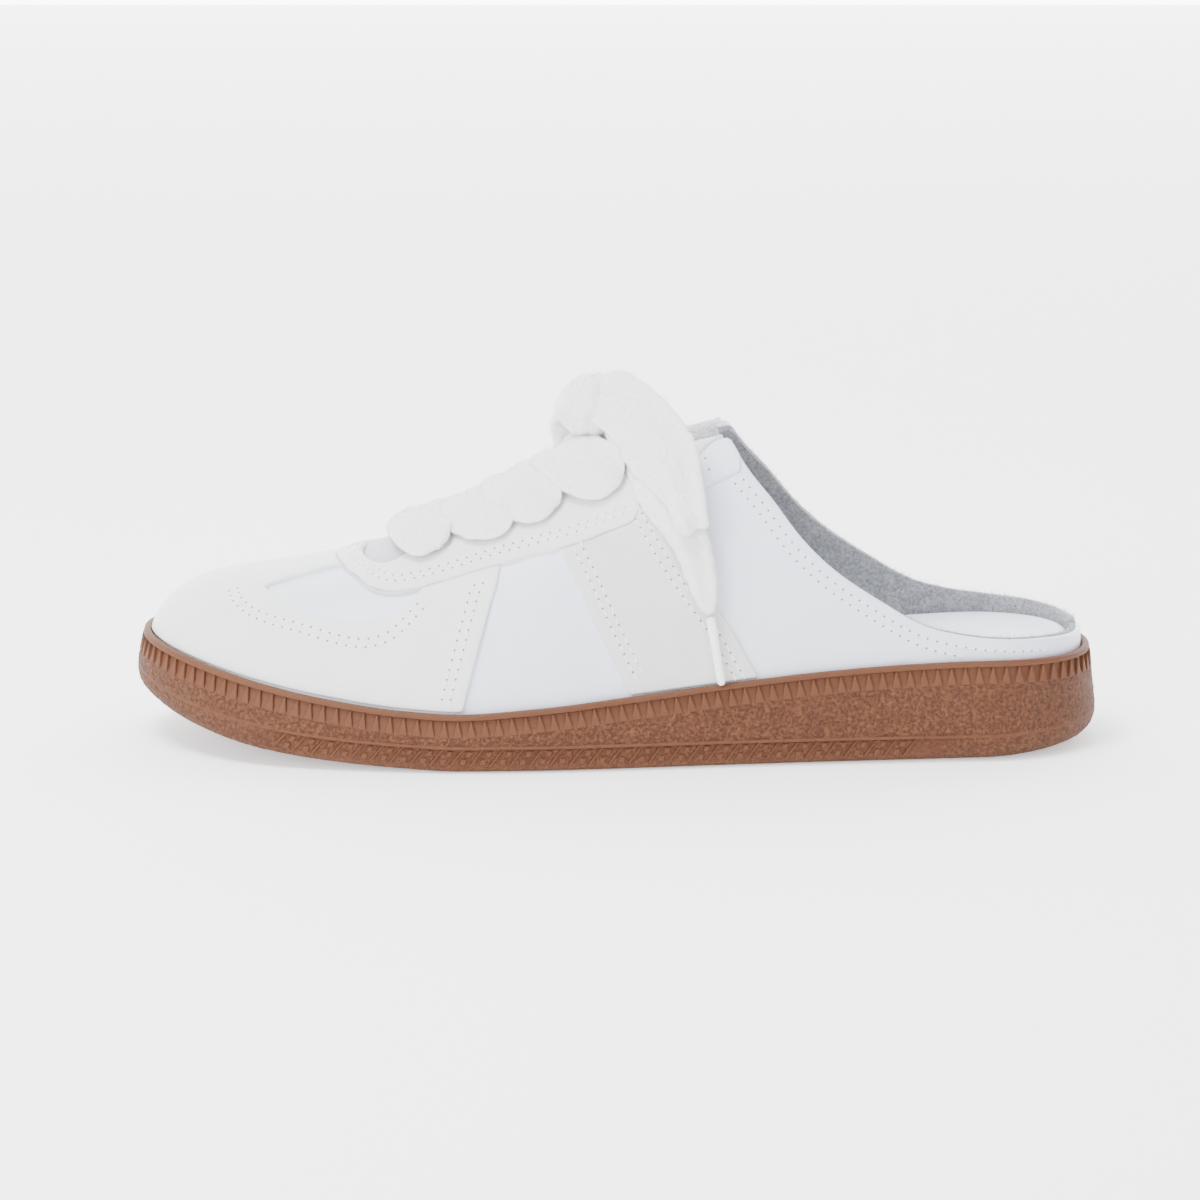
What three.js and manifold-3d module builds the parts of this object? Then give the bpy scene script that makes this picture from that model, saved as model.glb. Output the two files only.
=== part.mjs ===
// A left slip-on shoe: a backless leather sneaker on a gum rubber cup sole, with wide ribbon laces.
// Millimetres. The toe points along -X, the outer (lateral) side faces -Y and +Z is up.
// The origin lies on the floor, under the middle of the sole's box.
import * as THREE from 'three';
import { mergeVertices } from 'three/addons/utils/BufferGeometryUtils.js';
import Module from 'manifold-3d';

const wasm = await Module();
wasm.setup();

// Driving dimensions
const soleLength = 266.6;
const ballWidth = 97;
const heelLipHeight = 27;
const toeSpring = 13;
const instepHeight = 92;
const fitGap = 0.3;

// Cup sole
const lipThickness = 2.2;
const wallFlare = 3.4;
const soleEdgeRadius = 9;
const lipBandHeight = 2.4;
const toothHeight = 4.2;
const toothPitch = 3.76;
const toothDepth = 0.7;
const toothTip = 0.7;
const toothHollowTop = 0.3;
const edgeRound = 0.5;
const treadBandHeight = 7.0;
const treadBandStep = 0.7;
const treadGroovePitch = 5.2;
const treadGrooveWidth = 1.2;
const treadGrooveDepth = 1.0;
const treadGrooveLean = 4.0;
const treadGrooveDrop = 1.2;
const treadFrom = 0.13;
const treadTo = 0.80;

// Upper, its overlays and what lies in it
const upperWall = 2.8;
const overlayThickness = 1.2;
const insoleThickness = 5.0;
const insoleClearance = 1.2;
const tongueThickness = 4.0;
const throatWidth = 26;
const tongueWidth = 42;

// Ribbon lace; over the throat its width is a share of soleLength, so that its bars always touch
const ribbonShare = 0.0657;
const ribbonThickness = 2.8;
const freeRibbonThickness = 2.0;
const agletRadius = 1.4;
const agletTaper = 0.8;
const barEndRound = 0.6;
const barEndPower = 8;

// Sole in plan along its length: lateral and medial half widths and the tip's swing as shares of
// ballWidth, and the outward slope of the wall as a share of wallFlare
const planRows = [
  { at: 0.00, lateral: 0.430, medial: 0.470, swing: 0.060, flare: 1.00 },
  { at: 0.06, lateral: 0.446, medial: 0.482, swing: 0.045, flare: 0.92 },
  { at: 0.12, lateral: 0.462, medial: 0.490, swing: 0.030, flare: 0.80 },
  { at: 0.20, lateral: 0.475, medial: 0.497, swing: 0.015, flare: 0.66 },
  { at: 0.28, lateral: 0.492, medial: 0.500, swing: 0.005, flare: 0.58 },
  { at: 0.34, lateral: 0.499, medial: 0.492, swing: 0.000, flare: 0.56 },
  { at: 0.42, lateral: 0.490, medial: 0.458, swing: 0.000, flare: 0.55 },
  { at: 0.52, lateral: 0.458, medial: 0.400, swing: 0.000, flare: 0.55 },
  { at: 0.62, lateral: 0.420, medial: 0.366, swing: 0.000, flare: 0.55 },
  { at: 0.72, lateral: 0.388, medial: 0.354, swing: 0.000, flare: 0.55 },
  { at: 0.80, lateral: 0.368, medial: 0.350, swing: 0.000, flare: 0.55 },
  { at: 0.88, lateral: 0.354, medial: 0.345, swing: 0.000, flare: 0.55 },
  { at: 1.00, lateral: 0.342, medial: 0.338, swing: 0.000, flare: 0.55 },
];

// Sole from the side: top of the cup wall and cup floor as shares of heelLipHeight, underside as a share
// of toeSpring, bottom edge as a share of soleEdgeRadius, and how much of the stepped band there is
const wallRows = [
  { at: 0.00, lip: 1.100, floor: 0.780, under: 1.00, edge: 0.62, band: 0 },
  { at: 0.06, lip: 0.960, floor: 0.640, under: 0.62, edge: 0.50, band: 0 },
  { at: 0.12, lip: 0.805, floor: 0.500, under: 0.38, edge: 0.34, band: 1 },
  { at: 0.20, lip: 0.680, floor: 0.390, under: 0.17, edge: 0.26, band: 1 },
  { at: 0.28, lip: 0.600, floor: 0.330, under: 0.05, edge: 0.24, band: 1 },
  { at: 0.34, lip: 0.580, floor: 0.320, under: 0.00, edge: 0.24, band: 1 },
  { at: 0.42, lip: 0.615, floor: 0.340, under: 0.00, edge: 0.24, band: 1 },
  { at: 0.52, lip: 0.690, floor: 0.430, under: 0.00, edge: 0.26, band: 1 },
  { at: 0.62, lip: 0.790, floor: 0.560, under: 0.00, edge: 0.32, band: 1 },
  { at: 0.72, lip: 0.885, floor: 0.700, under: 0.00, edge: 0.44, band: 1 },
  { at: 0.80, lip: 0.945, floor: 0.790, under: 0.00, edge: 0.60, band: 1 },
  { at: 0.88, lip: 0.985, floor: 0.835, under: 0.00, edge: 0.85, band: 0 },
  { at: 1.00, lip: 0.970, floor: 0.850, under: 0.20, edge: 1.00, band: 0 },
];

// Last of the upper: ridge height as a share of instepHeight, and the exponents of its cross section.
const lastRows = [
  { at: 0.00, ridge: 0.445, round: 2.3, lean: 2.3 },
  { at: 0.10, ridge: 0.485, round: 2.3, lean: 2.2 },
  { at: 0.16, ridge: 0.511, round: 2.3, lean: 2.1 },
  { at: 0.22, ridge: 0.545, round: 2.2, lean: 2.0 },
  { at: 0.30, ridge: 0.625, round: 2.1, lean: 2.0 },
  { at: 0.38, ridge: 0.720, round: 2.0, lean: 2.0 },
  { at: 0.48, ridge: 0.855, round: 2.0, lean: 2.0 },
  { at: 0.56, ridge: 0.955, round: 2.0, lean: 2.0 },
  { at: 0.64, ridge: 1.010, round: 2.0, lean: 2.1 },
  { at: 0.80, ridge: 1.030, round: 2.2, lean: 2.4 },
  { at: 1.00, ridge: 1.000, round: 2.4, lean: 2.8 },
];

// Top edge of the quarters seen from the side, from the throat back to the heel:
// shares of soleLength and of instepHeight.
const collarRows = [
  { at: 0.545, height: 1.020 },
  { at: 0.612, height: 0.960 },
  { at: 0.634, height: 0.862 },
  { at: 0.660, height: 0.773 },
  { at: 0.690, height: 0.662 },
  { at: 0.723, height: 0.571 },
  { at: 0.765, height: 0.486 },
  { at: 0.811, height: 0.407 },
  { at: 0.852, height: 0.373 },
  { at: 0.895, height: 0.357 },
  { at: 0.937, height: 0.350 },
  { at: 0.978, height: 0.338 },
  { at: 1.020, height: 0.328 },
];

// Lace facing round the throat in plan, front to back: shares of soleLength and of ballWidth,
// counted across from the shoe's middle line.
const eyestayRows = [
  { at: 0.210, across: 0.000 },
  { at: 0.219, across: 0.115 },
  { at: 0.240, across: 0.220 },
  { at: 0.262, across: 0.272 },
  { at: 0.300, across: 0.291 },
  { at: 0.380, across: 0.283 },
  { at: 0.453, across: 0.279 },
  { at: 0.505, across: 0.259 },
  { at: 0.526, across: 0.222 },
  { at: 0.545, across: 0.196 },
  { at: 0.640, across: 0.190 },
];

// Throat in plan, with the same columns; across is a share of half the throatWidth
const throatRows = [
  { at: 0.240, across: 0.00 },
  { at: 0.246, across: 0.55 },
  { at: 0.262, across: 0.90 },
  { at: 0.290, across: 1.00 },
  { at: 0.660, across: 1.00 },
];

// Tongue in plan, with the same columns; across is a share of half the tongueWidth
const tongueRows = [
  { at: 0.215, across: 0.00 },
  { at: 0.221, across: 0.50 },
  { at: 0.245, across: 0.90 },
  { at: 0.300, across: 1.00 },
  { at: 0.570, across: 1.00 },
  { at: 0.596, across: 0.85 },
  { at: 0.603, across: 0.50 },
];

// Low panel beside the middle strip of the toe, in plan: columns as in eyestayRows
const toePanelRows = [
  { at: 0.139, across: 0.180 },
  { at: 0.152, across: 0.154 },
  { at: 0.235, across: 0.100 },
  { at: 0.322, across: 0.240 },
  { at: 0.310, across: 0.280 },
  { at: 0.280, across: 0.330 },
  { at: 0.235, across: 0.337 },
  { at: 0.187, across: 0.300 },
  { at: 0.155, across: 0.236 },
];

// Rear edge of the toe cap seen from the side: shares of soleLength and of instepHeight
const toeCapRearRows = [
  { at: 0.400, height: 1.000 },
  { at: 0.382, height: 0.580 },
  { at: 0.372, height: 0.474 },
  { at: 0.360, height: 0.351 },
  { at: 0.344, height: 0.175 },
  { at: 0.330, height: 0.000 },
];

// Front and rear edges of the side panel seen from the side, from the top down, with the same columns
const sidePanelFrontRows = [
  { at: 0.418, height: 0.760 },
  { at: 0.448, height: 0.600 },
  { at: 0.463, height: 0.520 },
  { at: 0.484, height: 0.393 },
  { at: 0.514, height: 0.217 },
  { at: 0.546, height: 0.030 },
];
const sidePanelRearRows = [
  { at: 0.508, height: 0.890 },
  { at: 0.544, height: 0.714 },
  { at: 0.574, height: 0.575 },
  { at: 0.610, height: 0.430 },
  { at: 0.646, height: 0.250 },
  { at: 0.690, height: 0.030 },
];

// Ribbon bars over the throat, front to back: place on the ridge as a share of soleLength, how far the
// outer end leans back as a share of soleLength, turn at which the bar ends and share of the ribbon's width.
const barRows = [
  { at: 0.298, lean: -0.010, turn: 0.365, width: 0.95 },
  { at: 0.346, lean: 0.008, turn: 0.345, width: 1.00 },
  { at: 0.402, lean: 0.008, turn: 0.340, width: 1.02 },
  { at: 0.457, lean: 0.012, turn: 0.340, width: 1.05 },
];

// Free stretches of the lace, millimetres: points on the middle line of the ribbon, the slope in
// degrees of its width seen from the side, and its width there. The near end crosses under the knot.
const nearEndRoute = [
  { x: 1.0, y: 21.4, z: 70.8, slope: 20, width: 11.0 },
  { x: 2.0, y: 16.4, z: 76.6, slope: 22, width: 11.5 },
  { x: 3.0, y: 11.2, z: 81.0, slope: 23, width: 11.5 },
  { x: 4.0, y: 5.0, z: 84.5, slope: 23, width: 11.5 },
  { x: 5.0, y: -1.0, z: 86.3, slope: 23, width: 11.5 },
  { x: 6.0, y: -7.0, z: 86.4, slope: 23, width: 11.5 },
  { x: 7.0, y: -13.8, z: 85.5, slope: 24, width: 11.5 },
  { x: 8.2, y: -19.3, z: 82.1, slope: 25, width: 12.0 },
  { x: 10.0, y: -24.7, z: 77.4, slope: 25, width: 12.5 },
  { x: 12.2, y: -28.5, z: 73.1, slope: 25, width: 12.5 },
  { x: 14.8, y: -30.8, z: 69.1, slope: 24, width: 12.5 },
  { x: 17.3, y: -32.8, z: 65.2, slope: 22, width: 12.5 },
  { x: 19.0, y: -34.6, z: 61.0, slope: 20, width: 11.4 },
  { x: 20.3, y: -35.9, z: 56.7, slope: 19, width: 10.4 },
  { x: 21.8, y: -36.9, z: 52.2, slope: 17, width: 9.0 },
  { x: 23.2, y: -38.1, z: 47.9, slope: 14, width: 7.2 },
  { x: 24.4, y: -38.7, z: 44.4, slope: 11, width: 5.0 },
  { x: 25.3, y: -39.1, z: 42.0, slope: 9, width: 3.2 },
];
const agletRoute = [
  { x: 25.4, y: -39.2, z: 41.2 },
  { x: 28.5, y: -41.1, z: 22.8 },
];
const nearLoopRoute = [
  { x: -1.0, y: -2.4, z: 93.1, slope: 38, width: 14.0 },
  { x: 3.0, y: -6.4, z: 93.3, slope: 38, width: 15.5 },
  { x: 7.2, y: -11.6, z: 92.1, slope: 38, width: 15.5 },
  { x: 11.0, y: -18.4, z: 90.1, slope: 38, width: 15.5 },
  { x: 13.9, y: -24.1, z: 87.3, slope: 37, width: 15.0 },
  { x: 16.0, y: -28.3, z: 83.7, slope: 34, width: 14.5 },
  { x: 17.5, y: -31.5, z: 79.9, slope: 30, width: 13.5 },
  { x: 18.7, y: -34.1, z: 75.9, slope: 26, width: 12.5 },
  { x: 19.6, y: -36.6, z: 71.9, slope: 22, width: 11.0 },
  { x: 20.3, y: -38.3, z: 67.9, slope: 20, width: 9.5 },
  { x: 20.2, y: -37.5, z: 65.8, slope: 20, width: 9.0 },
  { x: 19.7, y: -35.5, z: 67.2, slope: 20, width: 9.0 },
  { x: 19.0, y: -33.9, z: 71.1, slope: 22, width: 10.5 },
  { x: 17.8, y: -32.4, z: 74.5, slope: 26, width: 12.0 },
  { x: 16.0, y: -30.7, z: 77.5, slope: 30, width: 13.0 },
  { x: 13.6, y: -28.3, z: 80.3, slope: 34, width: 13.5 },
  { x: 10.8, y: -24.6, z: 83.1, slope: 36, width: 13.5 },
  { x: 7.8, y: -19.2, z: 85.7, slope: 36, width: 13.5 },
  { x: 4.8, y: -13.8, z: 87.9, slope: 36, width: 13.5 },
  { x: 1.8, y: -8.4, z: 89.1, slope: 36, width: 12.0 },
];
const farLoopRoute = [
  { x: -4.0, y: 3.0, z: 93.0, slope: 47, width: 14.0 },
  { x: -7.6, y: 6.6, z: 93.4, slope: 47, width: 15.5 },
  { x: -10.0, y: 10.8, z: 91.6, slope: 44, width: 15.5 },
  { x: -11.0, y: 15.0, z: 88.0, slope: 38, width: 15.5 },
  { x: -11.0, y: 18.8, z: 83.6, slope: 31, width: 15.0 },
  { x: -10.6, y: 22.2, z: 79.0, slope: 25, width: 14.5 },
  { x: -10.0, y: 25.4, z: 74.2, slope: 20, width: 13.5 },
  { x: -9.4, y: 28.4, z: 69.4, slope: 18, width: 12.5 },
  { x: -8.8, y: 31.2, z: 64.6, slope: 16, width: 11.0 },
  { x: -8.2, y: 33.6, z: 59.8, slope: 15, width: 9.5 },
  { x: -8.0, y: 32.8, z: 57.6, slope: 15, width: 9.0 },
  { x: -8.0, y: 30.8, z: 59.0, slope: 15, width: 9.0 },
  { x: -8.4, y: 28.4, z: 63.6, slope: 16, width: 10.5 },
  { x: -8.8, y: 25.8, z: 68.0, slope: 18, width: 12.0 },
  { x: -9.0, y: 22.4, z: 72.2, slope: 20, width: 13.0 },
  { x: -9.0, y: 18.8, z: 76.2, slope: 25, width: 13.5 },
  { x: -8.8, y: 14.8, z: 80.2, slope: 31, width: 13.5 },
  { x: -7.8, y: 11.0, z: 83.8, slope: 38, width: 13.0 },
  { x: -6.0, y: 7.4, z: 86.8, slope: 44, width: 12.0 },
];
const knotCentre = { x: -2, y: 0.0, z: 92.3 };
const knotSize = { length: 17, width: 18, height: 17 };

// Round ends of the outline and of the ridge: length as a share of soleLength, and exponents.
const toeCap = { length: 0.24, along: 2.35, across: 2.2 };
const heelCap = { length: 0.13, along: 2.1, across: 2.1 };
const toeRise = { length: 0.13, along: 3.2, across: 2.9 };
const heelRise = { length: 0.12, along: 4.0, across: 3.0 };

const columns = 32;
const sectionPoints = 14;

// Smooth curve through a column of a table, with no overshoot between its rows
function rowValue(rows, name, at) {
  const last = rows.length - 1;
  const slope = (i) => (rows[i + 1][name] - rows[i][name]) / (rows[i + 1].at - rows[i].at);
  const tangent = (i) => {
    if (i === 0) return slope(0);
    if (i === last) return slope(last - 1);
    const before = slope(i - 1);
    const after = slope(i);
    return before * after <= 0 ? 0 : (2 * before * after) / (before + after);
  };
  let i = 0;
  while (i < last - 1 && at > rows[i + 1].at) i += 1;
  const span = rows[i + 1].at - rows[i].at;
  const t = THREE.MathUtils.clamp((at - rows[i].at) / span, 0, 1);
  const rise = t * t * (3 - 2 * t);
  return rows[i][name] * (1 - rise) + rows[i + 1][name] * rise
    + span * (tangent(i) * t * (1 - t) ** 2 - tangent(i + 1) * t * t * (1 - t));
}

const soleValue = (name, at) => rowValue(name in planRows[0] ? planRows : wallRows, name, at);

// 1 along the body, falling to 0 at the end that the cap rounds; from is the distance to that end
function capValue(cap, from) {
  const u = THREE.MathUtils.clamp(1 - from / cap.length, 0, 1);
  return (1 - u ** cap.along) ** (1 / cap.across);
}

const lengthAt = (at) => (at - 0.5) * soleLength;
const easedAt = (k) => (1 - Math.cos(Math.PI * k)) / 2;
const easedFrom = (at) => Math.acos(1 - 2 * at) / Math.PI;

const halfWidth = (at, side) => soleValue(side < 0 ? 'lateral' : 'medial', at)
  * capValue(toeCap, at) * capValue(heelCap, 1 - at);

// Middle of the sole's box across, which the origin is moved to
const boxMiddle = sideMiddle();

function sideMiddle() {
  const places = Array.from({ length: 200 }, (unused, n) => n / 200);
  const reach = (at, side) => side * soleValue('swing', at) + halfWidth(at, side);
  const widest = (side) => Math.max(...places.map((at) => reach(at, side)));
  return ((widest(1) - widest(-1)) / 2) * ballWidth;
}

// Widest outline of the sole in plan. k runs from 0 at the toe to 1 at the heel, side is -1 on the
// outer and 1 on the inner side; past either end the outline goes on along the other side.
function outlinePoint(k, side) {
  if (k < 0) return outlinePoint(-k, -side);
  if (k > 1) return outlinePoint(2 - k, -side);
  const at = easedAt(k);
  const across = soleValue('swing', at) + side * halfWidth(at, side);
  return new THREE.Vector2(lengthAt(at), across * ballWidth - boxMiddle);
}

// A point of the outline moved outwards by out, along its own normal
function outlineOffset(k, side, out) {
  const step = 1e-3;
  const tangent = outlinePoint(k + step, side).sub(outlinePoint(k - step, side)).normalize();
  const normal = new THREE.Vector2(-tangent.y, tangent.x).multiplyScalar(-side);
  return outlinePoint(k, side).addScaledVector(normal, -out);
}

// Values of k that space the columns evenly along the outline
function evenColumns(count) {
  const fine = 1200;
  const lengths = [0];
  for (let i = 1; i <= fine; i += 1) {
    const step = outlinePoint(i / fine, -1).distanceTo(outlinePoint((i - 1) / fine, -1));
    lengths.push(lengths[i - 1] + step);
  }
  const found = [];
  let i = 0;
  for (let n = 0; n <= count; n += 1) {
    const wanted = (lengths[fine] * n) / count;
    while (i < fine - 1 && lengths[i + 1] < wanted) i += 1;
    found.push((i + (wanted - lengths[i]) / (lengths[i + 1] - lengths[i])) / fine);
  }
  return found;
}

const columnKs = evenColumns(columns);

// Closed solid through rings of points; a ring of one point is a pole, and an end ring is closed by strips
function loft(rings) {
  const positions = [];
  const starts = rings.map((ring) => {
    const start = positions.length / 3;
    ring.forEach((p) => positions.push(p.x, p.y, p.z));
    return start;
  });
  const index = [];
  const triangle = (a, b, c) => index.push(a, b, c);
  for (let r = 0; r + 1 < rings.length; r += 1) {
    const count = Math.max(rings[r].length, rings[r + 1].length);
    const here = (j) => starts[r] + (rings[r].length === 1 ? 0 : j % count);
    const next = (j) => starts[r + 1] + (rings[r + 1].length === 1 ? 0 : j % count);
    for (let j = 0; j < count; j += 1) {
      if (rings[r].length > 1) triangle(here(j), here(j + 1), next(j));
      if (rings[r + 1].length > 1) triangle(here(j + 1), next(j + 1), next(j));
    }
  }
  const closeEnd = (r, turned) => {
    const count = rings[r].length;
    const at = (j) => starts[r] + (j % count);
    const add = (a, b, c) => (turned ? triangle(a, c, b) : triangle(a, b, c));
    for (let j = 0; j < Math.floor(count / 2); j += 1) {
      if (j > 0) add(at(j), at(count - j), at(j + 1));
      if (j + 1 < count - j - 1) add(at(j + 1), at(count - j), at(count - j - 1));
    }
  };
  if (rings[0].length > 1) closeEnd(0, false);
  if (rings[rings.length - 1].length > 1) closeEnd(rings.length - 1, true);
  const geometry = new THREE.BufferGeometry();
  geometry.setAttribute('position', new THREE.Float32BufferAttribute(positions, 3));
  geometry.setIndex(index);
  return solidOf(geometry);
}

// A closed three.js geometry as a solid that can be cut and joined, faces outwards
function solidOf(geometry) {
  const bare = new THREE.BufferGeometry();
  bare.setAttribute('position', geometry.getAttribute('position').clone());
  if (geometry.index) bare.setIndex(geometry.index.clone());
  const merged = mergeVertices(bare, 1e-4);
  const triangles = [];
  for (let i = 0; i < merged.index.count; i += 3) {
    const [a, b, c] = [0, 1, 2].map((n) => merged.index.getX(i + n));
    if (a !== b && b !== c && c !== a) triangles.push(a, b, c);
  }
  const make = (triVerts) => new wasm.Manifold(new wasm.Mesh({
    numProp: 3,
    vertProperties: new Float32Array(merged.getAttribute('position').array),
    triVerts: new Uint32Array(triVerts),
  }));
  const solid = make(triangles);
  return solid.volume() > 0 ? solid : make(triangles.reverse());
}

function geometryOf(solid) {
  const { vertProperties, triVerts } = solid.getMesh();
  const geometry = new THREE.BufferGeometry();
  geometry.setAttribute('position', new THREE.BufferAttribute(new Float32Array(vertProperties), 3));
  geometry.setIndex(new THREE.BufferAttribute(new Uint32Array(triVerts), 1));
  return geometry;
}

// A loop all round the shoe, lateral side first; pointAt gives the point for k and side
function loopAround(pointAt) {
  const loop = [];
  for (let n = 0; n <= columns; n += 1) loop.push(pointAt(columnKs[n], -1));
  for (let n = columns - 1; n > 0; n -= 1) loop.push(pointAt(columnKs[n], 1));
  return loop;
}

// Heights above the floor along the shoe
const lipHeight = (at) => soleValue('lip', at) * heelLipHeight;
const cupFloor = (at) => soleValue('floor', at) * heelLipHeight;
const underside = (at) => soleValue('under', at) * toeSpring;

// How far the top of the cup wall stands inside the widest outline
const lipInset = (at) => soleValue('flare', at) * wallFlare;

const edge = (at) => soleValue('edge', at) * soleEdgeRadius;

// Top of the stepped band above the tread, which starts where the bottom edge's rounding ends
const bandTop = (at) => underside(at) + Math.max(treadBandHeight, edge(at) + edgeRound);

// How far the cup wall at height z stands outside the widest outline, which is below zero
function wallOut(at, z) {
  const foot = bandTop(at) + edgeRound;
  return (-lipInset(at) * (z - foot)) / (lipHeight(at) - edgeRound - foot);
}

// One loop of the sole's surface: out and z are given as functions of the share of length
const soleLoop = (out, z) => loopAround((k, side) => {
  const at = easedAt(k);
  const p = outlineOffset(k, side, out(at));
  return new THREE.Vector3(p.x, p.y, z(at));
});

function soleBody() {
  const inner = (at) => -lipInset(at) - lipThickness;
  const step = (at) => soleValue('band', at) * treadBandStep;
  const loops = [
    soleLoop(inner, cupFloor),
    soleLoop(inner, (at) => lipHeight(at) - edgeRound),
    soleLoop((at) => inner(at) + edgeRound, lipHeight),
    soleLoop((at) => -lipInset(at) - edgeRound, lipHeight),
    soleLoop((at) => -lipInset(at), (at) => lipHeight(at) - edgeRound),
    soleLoop(() => 0, (at) => bandTop(at) + edgeRound),
    soleLoop((at) => -step(at), bandTop),
  ];
  for (const turn of [0, 45, 90]) {
    const angle = THREE.MathUtils.degToRad(turn);
    loops.push(soleLoop(
      (at) => -step(at) - edge(at) * (1 - Math.cos(angle)),
      (at) => underside(at) + edge(at) * (1 - Math.sin(angle)),
    ));
  }
  return loft(loops);
}

// Ridge of the last seen from the side; past either end it is mirrored, so that its normal is level there
function ridgePoint(k, foot) {
  if (k < 0 || k > 1) {
    const inside = ridgePoint(k < 0 ? -k : 2 - k, foot);
    return new THREE.Vector2(inside.x, 2 * foot(easedAt(k)) - inside.y);
  }
  const at = easedAt(k);
  const rise = capValue(toeRise, at) * capValue(heelRise, 1 - at);
  const top = rowValue(lastRows, 'ridge', at) * instepHeight;
  const x = (footPoint(k, -1, 0).x + footPoint(k, 1, 0).x) / 2;
  return new THREE.Vector2(x, foot(at) + (top - foot(at)) * rise);
}

// Where the upper stands in the cup, out beyond its outer face
function footPoint(k, side, out) {
  return outlineOffset(k, side, out - lipInset(easedAt(k)) - lipThickness - fitGap);
}

const footHeight = (at) => cupFloor(at) + fitGap;

// Outer face of the upper moved outwards by out, at turn 0 on the lateral foot, 1 on the medial foot
function lastPoint(k, turn, out) {
  const at = easedAt(k);
  const step = 1e-3;
  const ahead = ridgePoint(k + step, footHeight);
  const behind = ridgePoint(k - step, footHeight);
  const tangent = ahead.sub(behind).normalize();
  const ridge = ridgePoint(k, footHeight).addScaledVector(new THREE.Vector2(-tangent.y, tangent.x), out);
  const middle = (footPoint(k, -1, out).y + footPoint(k, 1, out).y) / 2;
  const foot = footPoint(k, turn < 0.5 ? -1 : 1, out);
  const angle = turn * Math.PI;
  const across = Math.abs(Math.cos(angle)) ** (2 / rowValue(lastRows, 'round', at));
  const up = Math.abs(Math.sin(angle)) ** (2 / rowValue(lastRows, 'lean', at));
  return new THREE.Vector3(
    ridge.x + (foot.x - ridge.x) * across,
    middle + (foot.y - middle) * across,
    footHeight(at) + (ridge.y - footHeight(at)) * up,
  );
}

// The last as a closed form, its outer face moved outwards by out and its foot lowered by drop
function lastForm(out, drop = 0) {
  const rings = columnKs.map((k, n) => {
    if (n === 0 || n === columns) {
      const end = lastPoint(k, 0, out);
      end.z -= drop;
      return [end];
    }
    const ring = [];
    for (let j = 0; j <= sectionPoints; j += 1) {
      const p = lastPoint(k, j / sectionPoints, out);
      if (j === 0 || j === sectionPoints) p.z -= drop;
      ring.push(p);
    }
    return ring;
  });
  return loft(rings);
}

// Everything above the quarters' top edge
function collarCutter() {
  const outline = new THREE.Shape();
  const points = collarRows.map((row) => new THREE.Vector2(lengthAt(row.at), row.height * instepHeight));
  const top = 2 * instepHeight;
  outline.moveTo(points[0].x, top);
  outline.lineTo(points[0].x, points[0].y);
  outline.lineTo(points[1].x, points[1].y);
  outline.splineThru(points.slice(2));
  outline.lineTo(points[points.length - 1].x, top);
  const depth = 2 * ballWidth;
  const settings = { depth, bevelEnabled: false, curveSegments: 3 };
  const geometry = new THREE.ExtrudeGeometry(outline, settings);
  geometry.rotateX(Math.PI / 2);
  geometry.translate(0, depth / 2, 0);
  return solidOf(geometry);
}

// y of the sole's middle line
const middleAt = (at) => (soleValue('swing', at) + (soleValue('medial', at) - soleValue('lateral', at)) / 2)
  * ballWidth - boxMiddle;

// Plan points of a table of at and across; scale turns a share across into millimetres
const planPoints = (rows, scale, side) => rows.map((row) => (
  new THREE.Vector2(lengthAt(row.at), middleAt(row.at) + side * row.across * scale)
));

// Smooth outline in plan, the same on both sides of the shoe's middle line and open at its rear end
function mirroredOutline(rows, scale) {
  const outer = planPoints(rows.slice(1), scale, -1).reverse();
  const inner = planPoints(rows, scale, 1);
  return new THREE.SplineCurve([...outer, ...inner]).getPoints(3 * rows.length);
}

const profilePoints = (rows) => rows.map((row) => (
  new THREE.Vector2(lengthAt(row.at), row.height * instepHeight)
));

// A closed outline moved outwards by out
function grown(points, out) {
  const turnsLeft = !THREE.ShapeUtils.isClockWise(points);
  return points.map((p, i) => {
    const before = points[(i + points.length - 1) % points.length];
    const after = points[(i + 1) % points.length];
    const along = after.clone().sub(before).normalize();
    const normal = new THREE.Vector2(along.y, -along.x).multiplyScalar(turnsLeft ? 1 : -1);
    return p.clone().addScaledVector(normal, out);
  });
}

const tallEnough = 2 * instepHeight;

// Upright prism on an outline in plan
function uprightPrism(points) {
  const settings = { depth: tallEnough, bevelEnabled: false };
  return solidOf(new THREE.ExtrudeGeometry(new THREE.Shape(points), settings));
}

// Level prism on an outline in the side view, from y = from to y = to
function levelPrism(points, from, to) {
  const settings = { depth: to - from, bevelEnabled: false };
  const geometry = new THREE.ExtrudeGeometry(new THREE.Shape(points), settings);
  geometry.rotateX(Math.PI / 2);
  geometry.translate(0, to, 0);
  return solidOf(geometry);
}

// Shell between two larger copies of the upper's outer face
const shellOver = (from, to) => lastForm(to).subtract(lastForm(from, 1));

// Everything from the floor up to the top of the cup wall and its clearance
function belowLip() {
  const reach = () => ballWidth / 4;
  return loft([
    soleLoop(reach, () => -ballWidth),
    soleLoop(reach, (at) => lipHeight(at) + fitGap),
    soleLoop(() => -2 * wallFlare, (at) => lipHeight(at) + fitGap),
  ]);
}

// Throat slot in plan, and lace facing
const throatOutline = () => mirroredOutline(throatRows, throatWidth / 2);
const eyestayOutline = () => mirroredOutline(eyestayRows, ballWidth);

function upperBody() {
  return lastForm(0).subtract(lastForm(-upperWall, 2))
    .subtract(collarCutter())
    .subtract(uprightPrism(throatOutline()));
}

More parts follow.
